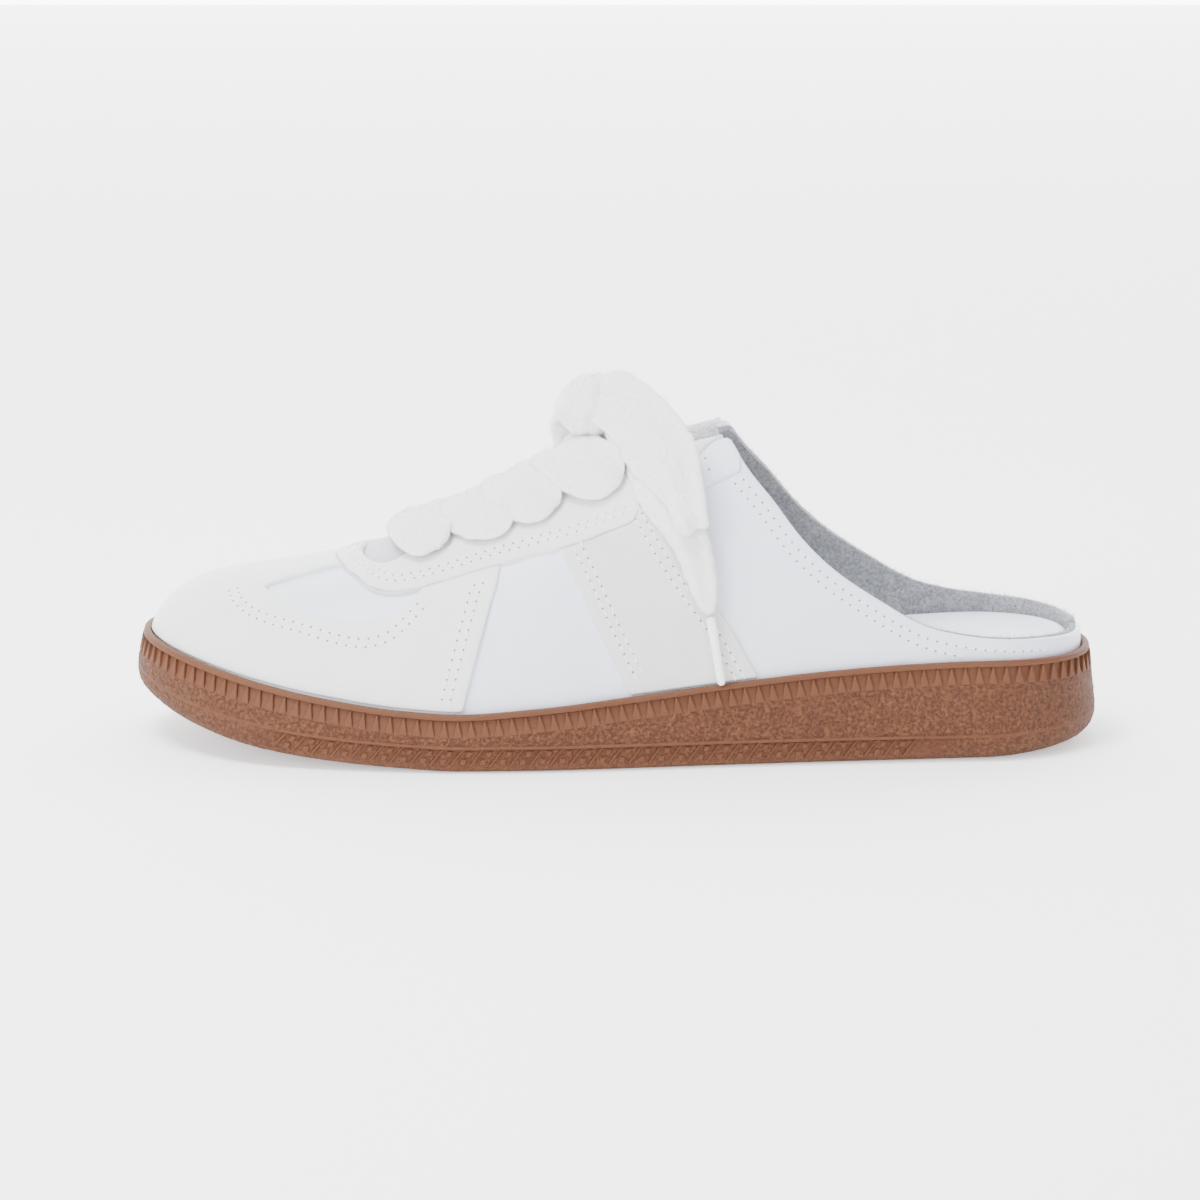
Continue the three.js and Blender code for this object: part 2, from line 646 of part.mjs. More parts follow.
function toeCapBody() {
  const rear = profilePoints(toeCapRearRows);
  const front = -soleLength;
  const region = [...rear, new THREE.Vector2(front, 0), new THREE.Vector2(front, instepHeight)];
  let body = shellOver(fitGap, fitGap + overlayThickness)
    .intersect(levelPrism(region, -ballWidth, ballWidth))
    .subtract(belowLip())
    .subtract(uprightPrism(grown(eyestayOutline(), fitGap)));
  for (const side of [-1, 1]) {
    const corners = planPoints(toePanelRows, ballWidth, side);
    const outline = new THREE.SplineCurve([...corners, corners[0]]).getPoints(30);
    body = body.subtract(uprightPrism(outline.slice(0, -1)));
  }
  return body;
}

function eyestayBody() {
  return shellOver(fitGap, fitGap + overlayThickness)
    .intersect(uprightPrism(eyestayOutline()))
    .subtract(uprightPrism(throatOutline()))
    .subtract(collarCutter());
}

function sidePanelBody(side) {
  const region = [...profilePoints(sidePanelFrontRows), ...profilePoints(sidePanelRearRows).reverse()];
  return shellOver(fitGap, fitGap + overlayThickness)
    .intersect(levelPrism(region, side < 0 ? -ballWidth : 0, side < 0 ? 0 : ballWidth))
    .subtract(belowLip())
    .subtract(uprightPrism(grown(eyestayOutline(), fitGap)));
}

function insoleBody() {
  const inside = (at) => -lipInset(at) - lipThickness - upperWall - insoleClearance;
  const slab = loft([
    soleLoop(inside, footHeight),
    soleLoop(inside, (at) => footHeight(at) + insoleThickness),
  ]);
  return lastForm(-upperWall - fitGap, 1).intersect(slab);
}

function tongueBody() {
  const top = -upperWall - fitGap;
  return lastForm(top).subtract(lastForm(top - tongueThickness, 1))
    .intersect(uprightPrism(mirroredOutline(tongueRows, tongueWidth / 2)));
}

// Flat ribbon through frames of a centre and its two half axes, with a soft edge
function ribbonLoft(frames) {
  const around = 8;
  const squareAcross = 0.6;
  const squareThrough = 0.8;
  return loft(frames.map(({ centre, across, through }) => {
    const ring = [];
    for (let n = 0; n < around; n += 1) {
      const angle = (2 * Math.PI * (n + 0.5)) / around;
      const c = Math.cos(angle);
      const s = Math.sin(angle);
      ring.push(centre.clone()
        .addScaledVector(across, Math.sign(c) * Math.abs(c) ** squareAcross)
        .addScaledVector(through, Math.sign(s) * Math.abs(s) ** squareThrough));
    }
    return ring;
  }));
}

// One bar of the lace, from eyelet to eyelet over the facing
function barBody(row) {
  const steps = 10;
  const out = fitGap + overlayThickness + fitGap + ribbonThickness / 2;
  const frames = [];
  for (let n = 0; n <= steps; n += 1) {
    const t = n / steps;
    const turn = THREE.MathUtils.lerp(row.turn, 1 - row.turn, t);
    const k = easedFrom(row.at + row.lean * (1 - 2 * t));
    const centre = lastPoint(k, turn, out);
    const along = lastPoint(k + 1e-3, turn, out).sub(lastPoint(k - 1e-3, turn, out)).normalize();
    const over = lastPoint(k, turn + 1e-3, out).sub(lastPoint(k, turn - 1e-3, out)).normalize();
    const through = new THREE.Vector3().crossVectors(along, over).normalize();
    const fill = Math.sqrt(1 - barEndRound * Math.abs(2 * t - 1) ** barEndPower);
    frames.push({
      centre,
      across: along.multiplyScalar((row.width * ribbonShare * soleLength * fill) / 2),
      through: through.multiplyScalar((ribbonThickness * fill) / 2),
    });
  }
  return ribbonLoft(frames);
}

// A free stretch of the lace along its hand-chosen route
function ribbonAlong(route) {
  const points = route.map(({ x, y, z }) => new THREE.Vector3(x, y, z));
  const curve = new THREE.CatmullRomCurve3(points, false, 'centripetal');
  return ribbonLoft(route.map((row, n) => {
    const along = curve.getTangent(n / (route.length - 1));
    const slope = THREE.MathUtils.degToRad(row.slope);
    const across = new THREE.Vector3(Math.cos(slope), 0, Math.sin(slope));
    across.addScaledVector(along, -across.dot(along)).normalize();
    return {
      centre: points[n],
      through: new THREE.Vector3().crossVectors(along, across).multiplyScalar(freeRibbonThickness / 2),
      across: across.multiplyScalar(row.width / 2),
    };
  }));
}

function knotForm(out) {
  const geometry = new THREE.SphereGeometry(0.5, 14, 9);
  geometry.scale(knotSize.length + 2 * out, knotSize.width + 2 * out, knotSize.height + 2 * out);
  geometry.translate(knotCentre.x, knotCentre.y, knotCentre.z);
  return solidOf(geometry);
}

const barTop = fitGap + overlayThickness + fitGap + ribbonThickness;

const loopBody = (route) => ribbonAlong(route).subtract(knotForm(fitGap));

function agletBody() {
  const [top, foot] = agletRoute.map(({ x, y, z }) => new THREE.Vector3(x, y, z));
  const geometry = new THREE.CylinderGeometry(agletRadius, agletTaper * agletRadius, top.distanceTo(foot), 10);
  geometry.applyQuaternion(new THREE.Quaternion().setFromUnitVectors(
    new THREE.Vector3(0, 1, 0),
    top.clone().sub(foot).normalize(),
  ));
  const middle = top.clone().lerp(foot, 0.5);
  geometry.translate(middle.x, middle.y, middle.z);
  return solidOf(geometry);
}

// Values of k at even steps of about pitch between two shares of the length
function evenSteps(pitch, from, to) {
  const count = Math.round((soleLength * (to - from)) / pitch);
  const fine = evenColumns(4 * columns);
  const kFrom = easedFrom(from);
  const kTo = easedFrom(to);
  const inside = fine.filter((k) => k >= kFrom && k <= kTo);
  return Array.from({ length: count + 1 }, (unused, n) => {
    const place = (n / count) * (inside.length - 1);
    const i = Math.min(Math.floor(place), inside.length - 2);
    return THREE.MathUtils.lerp(inside[i], inside[i + 1], place - i);
  });
}

// How far a cutter starts outside the surface that it cuts: a deep one and one that only just clears it
const cutPast = 2;
const skin = 0.05;

// Hollow between two upright teeth of the wall, wide at its top and pointed at its foot
function toothHollow(k, next, side) {
  const tip = ((toothTip / toothPitch) / 2) * (next - k);
  const corner = (place, drop, out) => {
    const at = easedAt(place);
    const z = lipHeight(at) - lipBandHeight - drop;
    const p = outlineOffset(place, side, wallOut(at, z) + out);
    return new THREE.Vector3(p.x, p.y, z);
  };
  const middle = (k + next) / 2;
  return loft([
    [corner(middle, toothHollowTop * toothHeight, -toothDepth)],
    [corner(k + tip, 0, skin), corner(next - tip, 0, skin), corner(middle, toothHeight, skin)],
  ]);
}

// Slanted groove across the stepped band above the tread
function treadGroove(k, next, side) {
  const wide = (treadGrooveWidth / treadGroovePitch) * (next - k);
  const lean = (treadGrooveLean / treadGroovePitch) * (next - k);
  const corner = (place, z, out) => {
    const p = outlineOffset(place, side, out);
    return new THREE.Vector3(p.x, p.y, z);
  };
  const foot = underside(easedAt(k)) - cutPast;
  const top = bandTop(easedAt(k)) - treadGrooveDrop;
  const deep = -treadBandStep - treadGrooveDepth;
  return loft([
    [corner(k, foot, cutPast), corner(k + wide, foot, cutPast), corner(k + wide / 2, foot, deep)],
    [
      corner(k + lean, top, cutPast),
      corner(k + lean + wide, top, cutPast),
      corner(k + lean + wide / 2, top, deep),
    ],
  ]);
}

function outsoleBody() {
  const cutters = [];
  for (const side of [-1, 1]) {
    const teeth = evenSteps(toothPitch, 0, 1);
    for (let n = 0; n + 1 < teeth.length; n += 1) cutters.push(toothHollow(teeth[n], teeth[n + 1], side));
    const grooves = evenSteps(treadGroovePitch, treadFrom, treadTo);
    for (let n = 0; n + 1 < grooves.length; n += 1) cutters.push(treadGroove(grooves[n], grooves[n + 1], side));
  }
  return soleBody().subtract(wasm.Manifold.union(cutters));
}

const parts = new THREE.Group();

function addPart(name, solid, colour, roughness) {
  const material = new THREE.MeshStandardMaterial({ color: colour, roughness, metalness: 0 });
  const mesh = new THREE.Mesh(geometryOf(solid), material);
  mesh.name = name;
  parts.add(mesh);
}

const gum = 0xa8714f;
const leather = 0xf1f1f2;
const suede = 0xdcdcd8;

addPart('outsole', outsoleBody(), gum, 0.7);
addPart('upper', upperBody(), leather, 0.5);
addPart('toe_cap', toeCapBody(), suede, 0.85);
addPart('eyestay', eyestayBody(), suede, 0.85);
addPart('side_panel_outer', sidePanelBody(-1), suede, 0.85);
addPart('side_panel_inner', sidePanelBody(1), suede, 0.85);
addPart('insole', insoleBody(), 0xd6d5e0, 0.8);
addPart('tongue', tongueBody(), 0xc4c5ca, 0.95);
addPart('lace_bars', wasm.Manifold.union(barRows.map(barBody)), 0xf4f3f6, 0.9);
addPart('lace_knot', knotForm(0).subtract(lastForm(barTop + fitGap)), 0xf4f3f6, 0.9);
addPart('lace_loop_near', loopBody(nearLoopRoute), 0xf4f3f6, 0.9);
addPart('lace_loop_far', loopBody(farLoopRoute), 0xf4f3f6, 0.9);
addPart('lace_end', ribbonAlong(nearEndRoute), 0xf4f3f6, 0.9);
addPart('aglet', agletBody(), 0xf2f2f4, 0.3);

export default parts;
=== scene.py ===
import functools
import math

import bmesh
import bpy
import numpy as np
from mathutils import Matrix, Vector, noise
from mathutils.geometry import delaunay_2d_cdt


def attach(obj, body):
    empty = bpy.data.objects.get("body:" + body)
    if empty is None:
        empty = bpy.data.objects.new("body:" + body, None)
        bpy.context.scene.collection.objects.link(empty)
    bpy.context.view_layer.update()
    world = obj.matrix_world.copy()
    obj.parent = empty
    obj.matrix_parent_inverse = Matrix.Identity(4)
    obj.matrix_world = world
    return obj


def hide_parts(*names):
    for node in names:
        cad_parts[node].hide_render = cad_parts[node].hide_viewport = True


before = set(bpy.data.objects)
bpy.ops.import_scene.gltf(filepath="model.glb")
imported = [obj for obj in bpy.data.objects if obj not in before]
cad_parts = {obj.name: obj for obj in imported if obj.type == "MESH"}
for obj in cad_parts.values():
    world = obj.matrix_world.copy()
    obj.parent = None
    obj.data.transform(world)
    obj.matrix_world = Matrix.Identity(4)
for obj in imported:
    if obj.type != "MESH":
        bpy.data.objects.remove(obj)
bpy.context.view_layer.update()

# Camera: level with the shoe's outer side and a little above it, from far off, as a product picture is taken.
mm = 0.001
aim = Vector((-4.44, 0.0, 37.6)) * mm
far_off = 1.4
looking_down = math.radians(12)
view = bpy.data.cameras.new("camera")
view.lens = 151.2
view.sensor_width = 36
view.sensor_fit = "HORIZONTAL"
camera = bpy.data.objects.new("camera", view)
bpy.context.scene.collection.objects.link(camera)
camera.location = aim + Vector((0, -math.cos(looking_down), math.sin(looking_down))) * far_off
camera.rotation_euler = (aim - camera.location).to_track_quat("-Z", "Y").to_euler()
bpy.context.scene.camera = camera

# Bow: soft velvet ribbon, white on white, tied over the tongue. The knot is one turn of the ribbon pulled tight
# over the crossing, so its creases run round it; two loops and one end come out of it.
ribbon_plump = 3.4
fold_height = 0.6


def add_piece(name, points, faces):
    mesh = bpy.data.meshes.new(name)
    mesh.from_pydata([tuple(p) for p in np.asarray(points) * mm], [], faces)
    mesh.shade_smooth()
    piece = bpy.data.objects.new(name, mesh)
    bpy.context.scene.collection.objects.link(piece)
    return piece


def smooth_line(points, steps):
    """Catmull-Rom line through points, with steps between each two of them."""
    p = np.asarray(points, float)
    found = []
    for i in range(len(p) - 1):
        a, b, c, d = p[max(i - 1, 0)], p[i], p[i + 1], p[min(i + 2, len(p) - 1)]
        for t in np.arange(steps) / steps:
            found.append(b + 0.5 * t * (c - a + t * (2 * a - 5 * b + 4 * c - d + t * (3 * (b - c) + d - a))))
    return np.array(found + [p[-1]])


def unit(v):
    return v / np.maximum(np.linalg.norm(v, axis=-1, keepdims=True), 1e-9)


def tube_faces(rings, around):
    faces = [
        (r * around + j, r * around + (j + 1) % around, (r + 1) * around + (j + 1) % around, (r + 1) * around + j)
        for r in range(rings - 1)
        for j in range(around)
    ]
    faces.append(tuple(range(around))[::-1])
    faces.append(tuple((rings - 1) * around + j for j in range(around)))
    return faces


def face_out(piece):
    bm = bmesh.new()
    bm.from_mesh(piece.data)
    bmesh.ops.recalc_face_normals(bm, faces=bm.faces)
    bm.to_mesh(piece.data)
    bm.free()
    piece.data.update()
    return piece


def ribbon_rings(centre, across, through, folds, around=28):
    """Rings of a soft flat band. across and through are its half axes; folds bends it along its length."""
    angle = 2 * np.pi * (np.arange(around) + 0.5) / around
    c = np.sign(np.cos(angle)) * np.abs(np.cos(angle)) ** 0.62
    s = np.sign(np.sin(angle)) * np.abs(np.sin(angle)) ** 0.85
    wave = folds[:, None] * np.cos(1.5 * np.pi * c[None, :] + 0.35 * np.arange(len(centre))[:, None] / 12)
    rise = s[None, :] + wave / np.maximum(np.linalg.norm(through, axis=1), 0.2)[:, None]
    return centre[:, None] + c[None, :, None] * across[:, None] + rise[..., None] * through[:, None]


def plush(points, size, height, seed):
    """Moves points about a little, as the nap and the crumples of a soft ribbon do."""
    return np.array([
        p + height * np.array(noise.noise_vector(Vector(p) / size + Vector((seed, 2 * seed, 0)))) for p in points
    ])


def free_ribbon(name, rows, seed):
    """A free stretch of the lace on its route of x, y, z, slope in degrees and width."""
    rows = smooth_line(rows, 6)
    centre = rows[:, :3]
    along = unit(np.gradient(centre, axis=0))
    slope = np.radians(rows[:, 3])
    across = np.stack([np.cos(slope), 0 * slope, np.sin(slope)], 1)
    across = unit(across - along * (across * along).sum(1, keepdims=True))
    through = unit(np.cross(along, across))
    place = np.linspace(0, 1, len(rows))
    ends = np.sqrt(np.clip(1 - (2 * np.abs(place - 0.5)) ** 24, 0.02, 1))[:, None]
    rings = ribbon_rings(
        centre,
        across * rows[:, 4:5] / 2 * ends,
        through * ribbon_plump / 2 * ends,
        fold_height * np.sin(np.pi * place) ** 0.5,
    )
    around = rings.shape[1]
    piece = add_piece(name, plush(rings.reshape(-1, 3), 3.0, 0.5, seed), tube_faces(len(rings), around))
    return face_out(piece), centre


class Value:
    """A socket of a shader tree; the operators add Math nodes."""

    def __init__(self, shade, socket):
        self.shade, self.socket = shade, socket

    def math(self, kind, *others):
        return self.shade.node("ShaderNodeMath", {"operation": kind}, {n: v for n, v in enumerate([self, *others])})

    def __add__(self, other):
        return self.math("ADD", other)

    def __sub__(self, other):
        return self.math("SUBTRACT", other)

    def __rsub__(self, other):
        return self.shade.node("ShaderNodeMath", {"operation": "SUBTRACT"}, {0: other, 1: self})

    def __mul__(self, other):
        return self.math("MULTIPLY", other)

    def __pow__(self, other):
        return self.math("POWER", other)

    __radd__ = __add__
    __rmul__ = __mul__

    def above(self, low, high):
        """0 below low, 1 above high, smooth between."""
        return self.shade.node(
            "ShaderNodeMapRange",
            {"interpolation_type": "SMOOTHSTEP"},
            {"Value": self, "From Min": low, "From Max": high},
        )


class Shade:
    """A material under construction."""

    def __init__(self, name):
        self.material = bpy.data.materials.new(name)
        self.material.use_nodes = True
        self.nodes = self.material.node_tree.nodes
        self.links = self.material.node_tree.links
        self.surface = self.nodes["Principled BSDF"]
        self.place = self.node("ShaderNodeTexCoord", output="Object")

    def node(self, kind, settings=None, inputs=None, output=0):
        made = self.nodes.new(kind)
        for key, value in (settings or {}).items():
            setattr(made, key, value)
        for key, value in (inputs or {}).items():
            if isinstance(value, Value):
                self.links.new(value.socket, made.inputs[key])
            else:
                made.inputs[key].default_value = value
        return Value(self, made.outputs[output])

    def noise(self, size_mm, detail=3.0, rough=0.55):
        return self.node(
            "ShaderNodeTexNoise", None, {"Vector": self.place, "Scale": 1 / (size_mm * mm), "Detail": detail, "Roughness": rough}
        )

    def cells(self, size_mm, feature="F1"):
        return self.node(
            "ShaderNodeTexVoronoi", {"feature": feature}, {"Vector": self.place, "Scale": 1 / (size_mm * mm)},
            output="Distance",
        )

    def mix(self, share, a, b):
        made = self.nodes.new("ShaderNodeMix")
        made.data_type = "RGBA"
        for index, value in ((0, share), (6, a), (7, b)):
            if isinstance(value, Value):
                self.links.new(value.socket, made.inputs[index])
            else:
                made.inputs[index].default_value = value if index == 0 else (*value, 1.0)
        return Value(self, made.outputs[2])

    def finish(self, colour=None, roughness=None, height=None, height_mm=0.1, **constants):
        for name, value in (("Base Color", colour), ("Roughness", roughness)):
            if isinstance(value, Value):
                self.links.new(value.socket, self.surface.inputs[name])
            elif value is not None:
                self.surface.inputs[name].default_value = (*value, 1.0) if name == "Base Color" else value
        if height is not None:
            bump = self.node("ShaderNodeBump", None, {"Height": height, "Distance": height_mm * mm, "Strength": 1.0})
            self.links.new(bump.socket, self.surface.inputs["Normal"])
        for name, value in constants.items():
            self.surface.inputs[name.replace("_", " ")].default_value = value
        return self.material


def colour_of(text):
    """A display colour as linear light."""
    return tuple(
        (c / 12.92 if c <= 0.04045 else ((c + 0.055) / 1.055) ** 2.4) for c in (int(text[i:i + 2], 16) / 255 for i in (0, 2, 4))
    )


def paint(piece, material, slot_name, *nodes):
    piece.data.materials.clear()
    piece.data.materials.append(material)
    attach(piece, "root")
    if nodes:
        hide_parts(*nodes)
    return piece


s = Shade("velvet_ribbon")
pile = s.noise(0.35, 4, 0.8)
crush = s.noise(2.6, 4, 0.6)
velvet = s.finish(
    s.mix(crush * 0.6 + pile * 0.4, colour_of("ececf0"), colour_of("fbfbfe")), 0.9, crush * 0.75 + pile * 0.25, 0.45,
    Sheen_Weight=0.4, Sheen_Roughness=0.45,
)
knot_centre = np.array((-5.2, 0.0, 91.9))
knot_half = np.array((11.0, 9.6, 9.2))
knot_rings, knot_around = 64, 96
turn_x = np.linspace(0, np.pi, knot_rings + 1)[1:-1]
turn_round = 2 * np.pi * np.arange(knot_around) / knot_around
ball = np.stack([
    -np.cos(turn_x)[:, None] + 0 * turn_round[None],
    np.sin(turn_x)[:, None] * np.cos(turn_round)[None],
    np.sin(turn_x)[:, None] * np.sin(turn_round)[None],
], -1)
crease = np.abs(np.sin(5.2 * ball[..., 0] + 0.7 * np.sin(turn_round * 2)[None] + 0.5)) ** 0.6
ball = ball * (0.955 + 0.06 * crease)[..., None] * np.array((1, 1, 1))
knot_points = plush((ball * knot_half + knot_centre).reshape(-1, 3), 4.0, 0.5, 13)
knot = face_out(add_piece("lace_knot_ribbon", knot_points, tube_faces(knot_rings - 1, knot_around)))
paint(knot, velvet, "white_ribbon", "lace_knot")

# Aglet: a thin sleeve of clear plastic crimped on the end of the ribbon.
aglet_line = np.array([(25.4, -39.2, 41.2), (28.5, -41.1, 22.8)])
aglet_radius = 1.4
steps = np.linspace(0, 1, 40)
axis = unit(aglet_line[1] - aglet_line[0])
side_a = unit(np.cross(axis, (0, 1, 0)))
side_b = np.cross(axis, side_a)
radii = aglet_radius * (1 - 0.2 * steps) * np.sqrt(np.clip(1 - (2 * np.abs(steps - 0.5)) ** 30, 0.3, 1))
radii *= 1 - 0.10 * (np.abs((steps * 5) % 1 - 0.5) < 0.12) * (steps < 0.7)
turn = 2 * np.pi * np.arange(20) / 20
spokes = np.cos(turn)[:, None] * side_a + np.sin(turn)[:, None] * side_b
rings = (aglet_line[0] + steps[:, None] * (aglet_line[1] - aglet_line[0]))[:, None] + radii[:, None, None] * spokes
aglet = face_out(add_piece("aglet_sleeve", rings.reshape(-1, 3), tube_faces(40, 20)))
s = Shade("clear_plastic")
wear = s.noise(1.2, 3)
clear = s.finish(
    s.mix(wear, colour_of("f4f4f8"), colour_of("ffffff")), wear * 0.1 + 0.12, wear, 0.03,
    Coat_Weight=0.6, Coat_Roughness=0.08,
)
paint(aglet, clear, "clear_tip", "aglet")

# Loops and end of the bow: each rises out of the knot, opens out and hangs with soft folds along it; the inner
# loop mirrors what the photo hides, the other end stays in the knot.
near_end_route = [
    (1.0, 21.4, 70.8, 20, 11.0), (2.0, 16.4, 76.6, 22, 11.5), (3.0, 11.2, 81.0, 23, 11.5), (4.0, 5.0, 84.5, 23, 11.5),
    (5.0, -1.0, 86.3, 23, 11.5), (6.0, -7.0, 86.4, 23, 11.5), (7.0, -13.8, 85.5, 24, 11.5), (8.2, -19.3, 82.1, 25, 12.5),
    (10.0, -24.7, 77.4, 25, 13.0), (12.2, -28.5, 73.1, 25, 13.0), (15.0, -30.8, 69.1, 24, 12.5),
    (18.0, -32.8, 65.2, 22, 11.8), (20.0, -34.6, 61.0, 20, 10.6), (21.6, -35.9, 56.7, 19, 9.4),
    (22.8, -36.9, 52.2, 17, 8.4), (23.8, -38.1, 47.9, 14, 7.0), (24.7, -38.7, 44.4, 11, 5.0), (25.3, -39.1, 42.0, 9, 3.2),
]
near_loop_route = [
    (-6.4, -4.6, 96.4, 40, 14.0), (-2.6, -7.2, 96.0, 40, 16.6), (1.8, -10.4, 94.0, 40, 17.4), (5.4, -14.4, 91.6, 39, 17.8),
    (9.2, -19.0, 88.2, 38, 17.8), (12.4, -23.2, 84.9, 36, 17.0), (15.0, -26.6, 82.0, 32, 15.4),
    (16.6, -29.8, 78.8, 28, 13.4), (18.0, -33.2, 75.0, 24, 11.8), (19.0, -36.2, 71.2, 21, 10.4), (19.6, -38.2, 67.9, 20, 9.4),
    (20.3, -37.4, 65.8, 20, 9.2), (19.7, -35.3, 67.6, 20, 9.6), (18.8, -33.5, 71.3, 22, 11.0), (17.2, -31.6, 74.9, 26, 12.4),
    (14.8, -29.2, 78.0, 30, 13.6), (11.8, -25.8, 81.0, 33, 14.2), (8.6, -21.2, 83.9, 35, 14.2), (5.4, -16.2, 86.6, 36, 14.0),
    (2.4, -11.4, 88.6, 36, 13.4), (0.0, -7.0, 89.6, 36, 12.0),
]
far_loop_route = [
    (-4.0, 3.0, 93.0, 47, 14.0), (-7.6, 6.6, 93.4, 47, 15.5), (-10.0, 10.8, 91.6, 44, 15.5), (-11.0, 15.0, 88.0, 38, 15.5),
    (-11.0, 18.8, 83.6, 31, 15.0), (-10.6, 22.2, 79.0, 25, 14.5), (-10.0, 25.4, 74.2, 20, 13.5), (-9.4, 28.4, 69.4, 18, 12.5),
    (-8.8, 31.2, 64.6, 16, 11.0), (-8.2, 33.6, 59.8, 15, 9.5), (-8.0, 32.8, 57.6, 15, 9.0), (-8.0, 30.8, 59.0, 15, 9.0),
    (-8.4, 28.4, 63.6, 16, 10.5), (-8.8, 25.8, 68.0, 18, 12.0), (-9.0, 22.4, 72.2, 20, 13.0), (-9.0, 18.8, 76.2, 25, 13.5),
    (-8.8, 14.8, 80.2, 31, 13.5), (-7.8, 11.0, 83.8, 38, 13.0), (-6.0, 7.4, 86.8, 44, 12.0),
]
near_end, near_end_line = free_ribbon("lace_end_ribbon", near_end_route, 3)
near_loop, near_loop_line = free_ribbon("lace_loop_outer", near_loop_route, 5)
far_loop, far_loop_line = free_ribbon("lace_loop_inner", far_loop_route, 8)
paint(near_end, velvet, "white_ribbon", "lace_end")
paint(near_loop, velvet, "white_ribbon", "lace_loop_near")
paint(far_loop, velvet, "white_ribbon", "lace_loop_far")


def run_length(line):
    return float(np.linalg.norm(np.diff(line, axis=0), axis=1).sum()) * mm


# Outsole: a cup of gum rubber moulded in one, with a plain lip, a ring of pointed teeth under it, pebbled
# wall, and a stepped band over the tread with slanted ribs and small blocks. The upper is glued into it.
sole_length = 266.6
ball_width = 97.0
heel_lip_height = 27.0
toe_spring = 13.0
lip_thickness = 2.2
wall_flare = 3.4
sole_edge_radius = 9.0
lip_band_height = 1.5
tooth_height = 4.5
tooth_pitch = 3.76
tooth_depth = 0.9
edge_round = 0.5
tread_band_height = 7.0
tread_band_step = 0.7
rib_pitch = 5.2
sole_places = (0.00, 0.06, 0.12, 0.20, 0.28, 0.34, 0.42, 0.52, 0.62, 0.72, 0.80, 0.88, 1.00)
sole_rows = {
    "lateral": (0.430, 0.446, 0.462, 0.475, 0.492, 0.499, 0.490, 0.458, 0.420, 0.388, 0.368, 0.354, 0.342),
    "medial": (0.470, 0.482, 0.490, 0.497, 0.500, 0.492, 0.458, 0.400, 0.366, 0.354, 0.350, 0.345, 0.338),
    "swing": (0.060, 0.045, 0.030, 0.015, 0.005, 0, 0, 0, 0, 0, 0, 0, 0),
    "lip": (1.100, 0.975, 0.850, 0.710, 0.610, 0.580, 0.630, 0.735, 0.845, 0.940, 0.990, 1.015, 0.985),
    "floor": (0.780, 0.640, 0.500, 0.390, 0.330, 0.320, 0.340, 0.430, 0.560, 0.700, 0.790, 0.835, 0.850),
    "under": (1.00, 0.62, 0.38, 0.17, 0.05, 0, 0, 0, 0, 0, 0, 0, 0.12),
    "edge": (0.62, 0.50, 0.34, 0.26, 0.24, 0.24, 0.24, 0.26, 0.28, 0.32, 0.38, 0.60, 0.74),
    "flare": (0.52, 0.58, 0.62, 0.60, 0.57, 0.56, 0.55, 0.55, 0.55, 0.55, 0.55, 0.55, 0.55),
    "band": (0, 0, 0, 1, 1, 1, 1, 1, 1, 1, 1, 0, 0),
}
toe_cap = (0.24, 2.35, 2.2)
heel_cap = (0.13, 2.1, 2.1)


def table_curve(places, values):
    """Smooth curve through a column of a table, with no overshoot between its rows."""
    p, v = np.array(places, float), np.array(values, float)
    slope = np.diff(v) / np.diff(p)
    tangent = np.concatenate([slope[:1], np.zeros(len(v) - 2), slope[-1:]])
    both = slope[:-1] * slope[1:]
    safe = np.where(slope[:-1] + slope[1:] == 0, 1, slope[:-1] + slope[1:])
    tangent[1:-1] = np.where(both > 0, 2 * both / safe, 0)

    def value(at):
        at = np.asarray(at, float)
        i = np.clip(np.searchsorted(p, at, side="left") - 1, 0, len(p) - 2)
        span = p[i + 1] - p[i]
        t = np.clip((at - p[i]) / span, 0, 1)
        rise = t * t * (3 - 2 * t)
        bend = span * (tangent[i] * t * (1 - t) ** 2 - tangent[i + 1] * t * t * (1 - t))
        return v[i] * (1 - rise) + v[i + 1] * rise + bend

    return value


sole = {name: table_curve(sole_places, values) for name, values in sole_rows.items()}


def cap_value(cap, distance):
    length, along, across = cap
    return (1 - np.clip(1 - distance / length, 0, 1) ** along) ** (1 / across)


def eased_at(k):
    return (1 - np.cos(np.pi * np.asarray(k, float))) / 2


def half_width(at, side):
    return np.where(side < 0, sole["lateral"](at), sole["medial"](at)) * cap_value(toe_cap, at) * cap_value(
        heel_cap, 1 - at
    )


spots = np.arange(200) / 200
box_middle = (
    (sole["swing"](spots) + half_width(spots, 1)).max() - (half_width(spots, -1) - sole["swing"](spots)).max()
) / 2 * ball_width


fine_k = np.linspace(0, 1, 6001)
fine_plan = {side: (sole["swing"](eased_at(fine_k)) + side * half_width(eased_at(fine_k), side)) * ball_width - box_middle
             for side in (-1, 1)}


def outline_point(k, side):
    k, side = np.broadcast_arrays(np.asarray(k, float), np.asarray(side, float))
    side = np.where((k < 0) | (k > 1), -side, side)
    k = np.where(k < 0, -k, np.where(k > 1, 2 - k, k))
    y = np.where(side < 0, np.interp(k, fine_k, fine_plan[-1]), np.interp(k, fine_k, fine_plan[1]))
    return np.stack([(eased_at(k) - 0.5) * sole_length, y], -1)


fine_normal = {}
for side in (-1, 1):
    along = unit(outline_point(fine_k + 1e-3, side) - outline_point(fine_k - 1e-3, side))
    fine_normal[side] = side * np.stack([-along[:, 1], along[:, 0]])


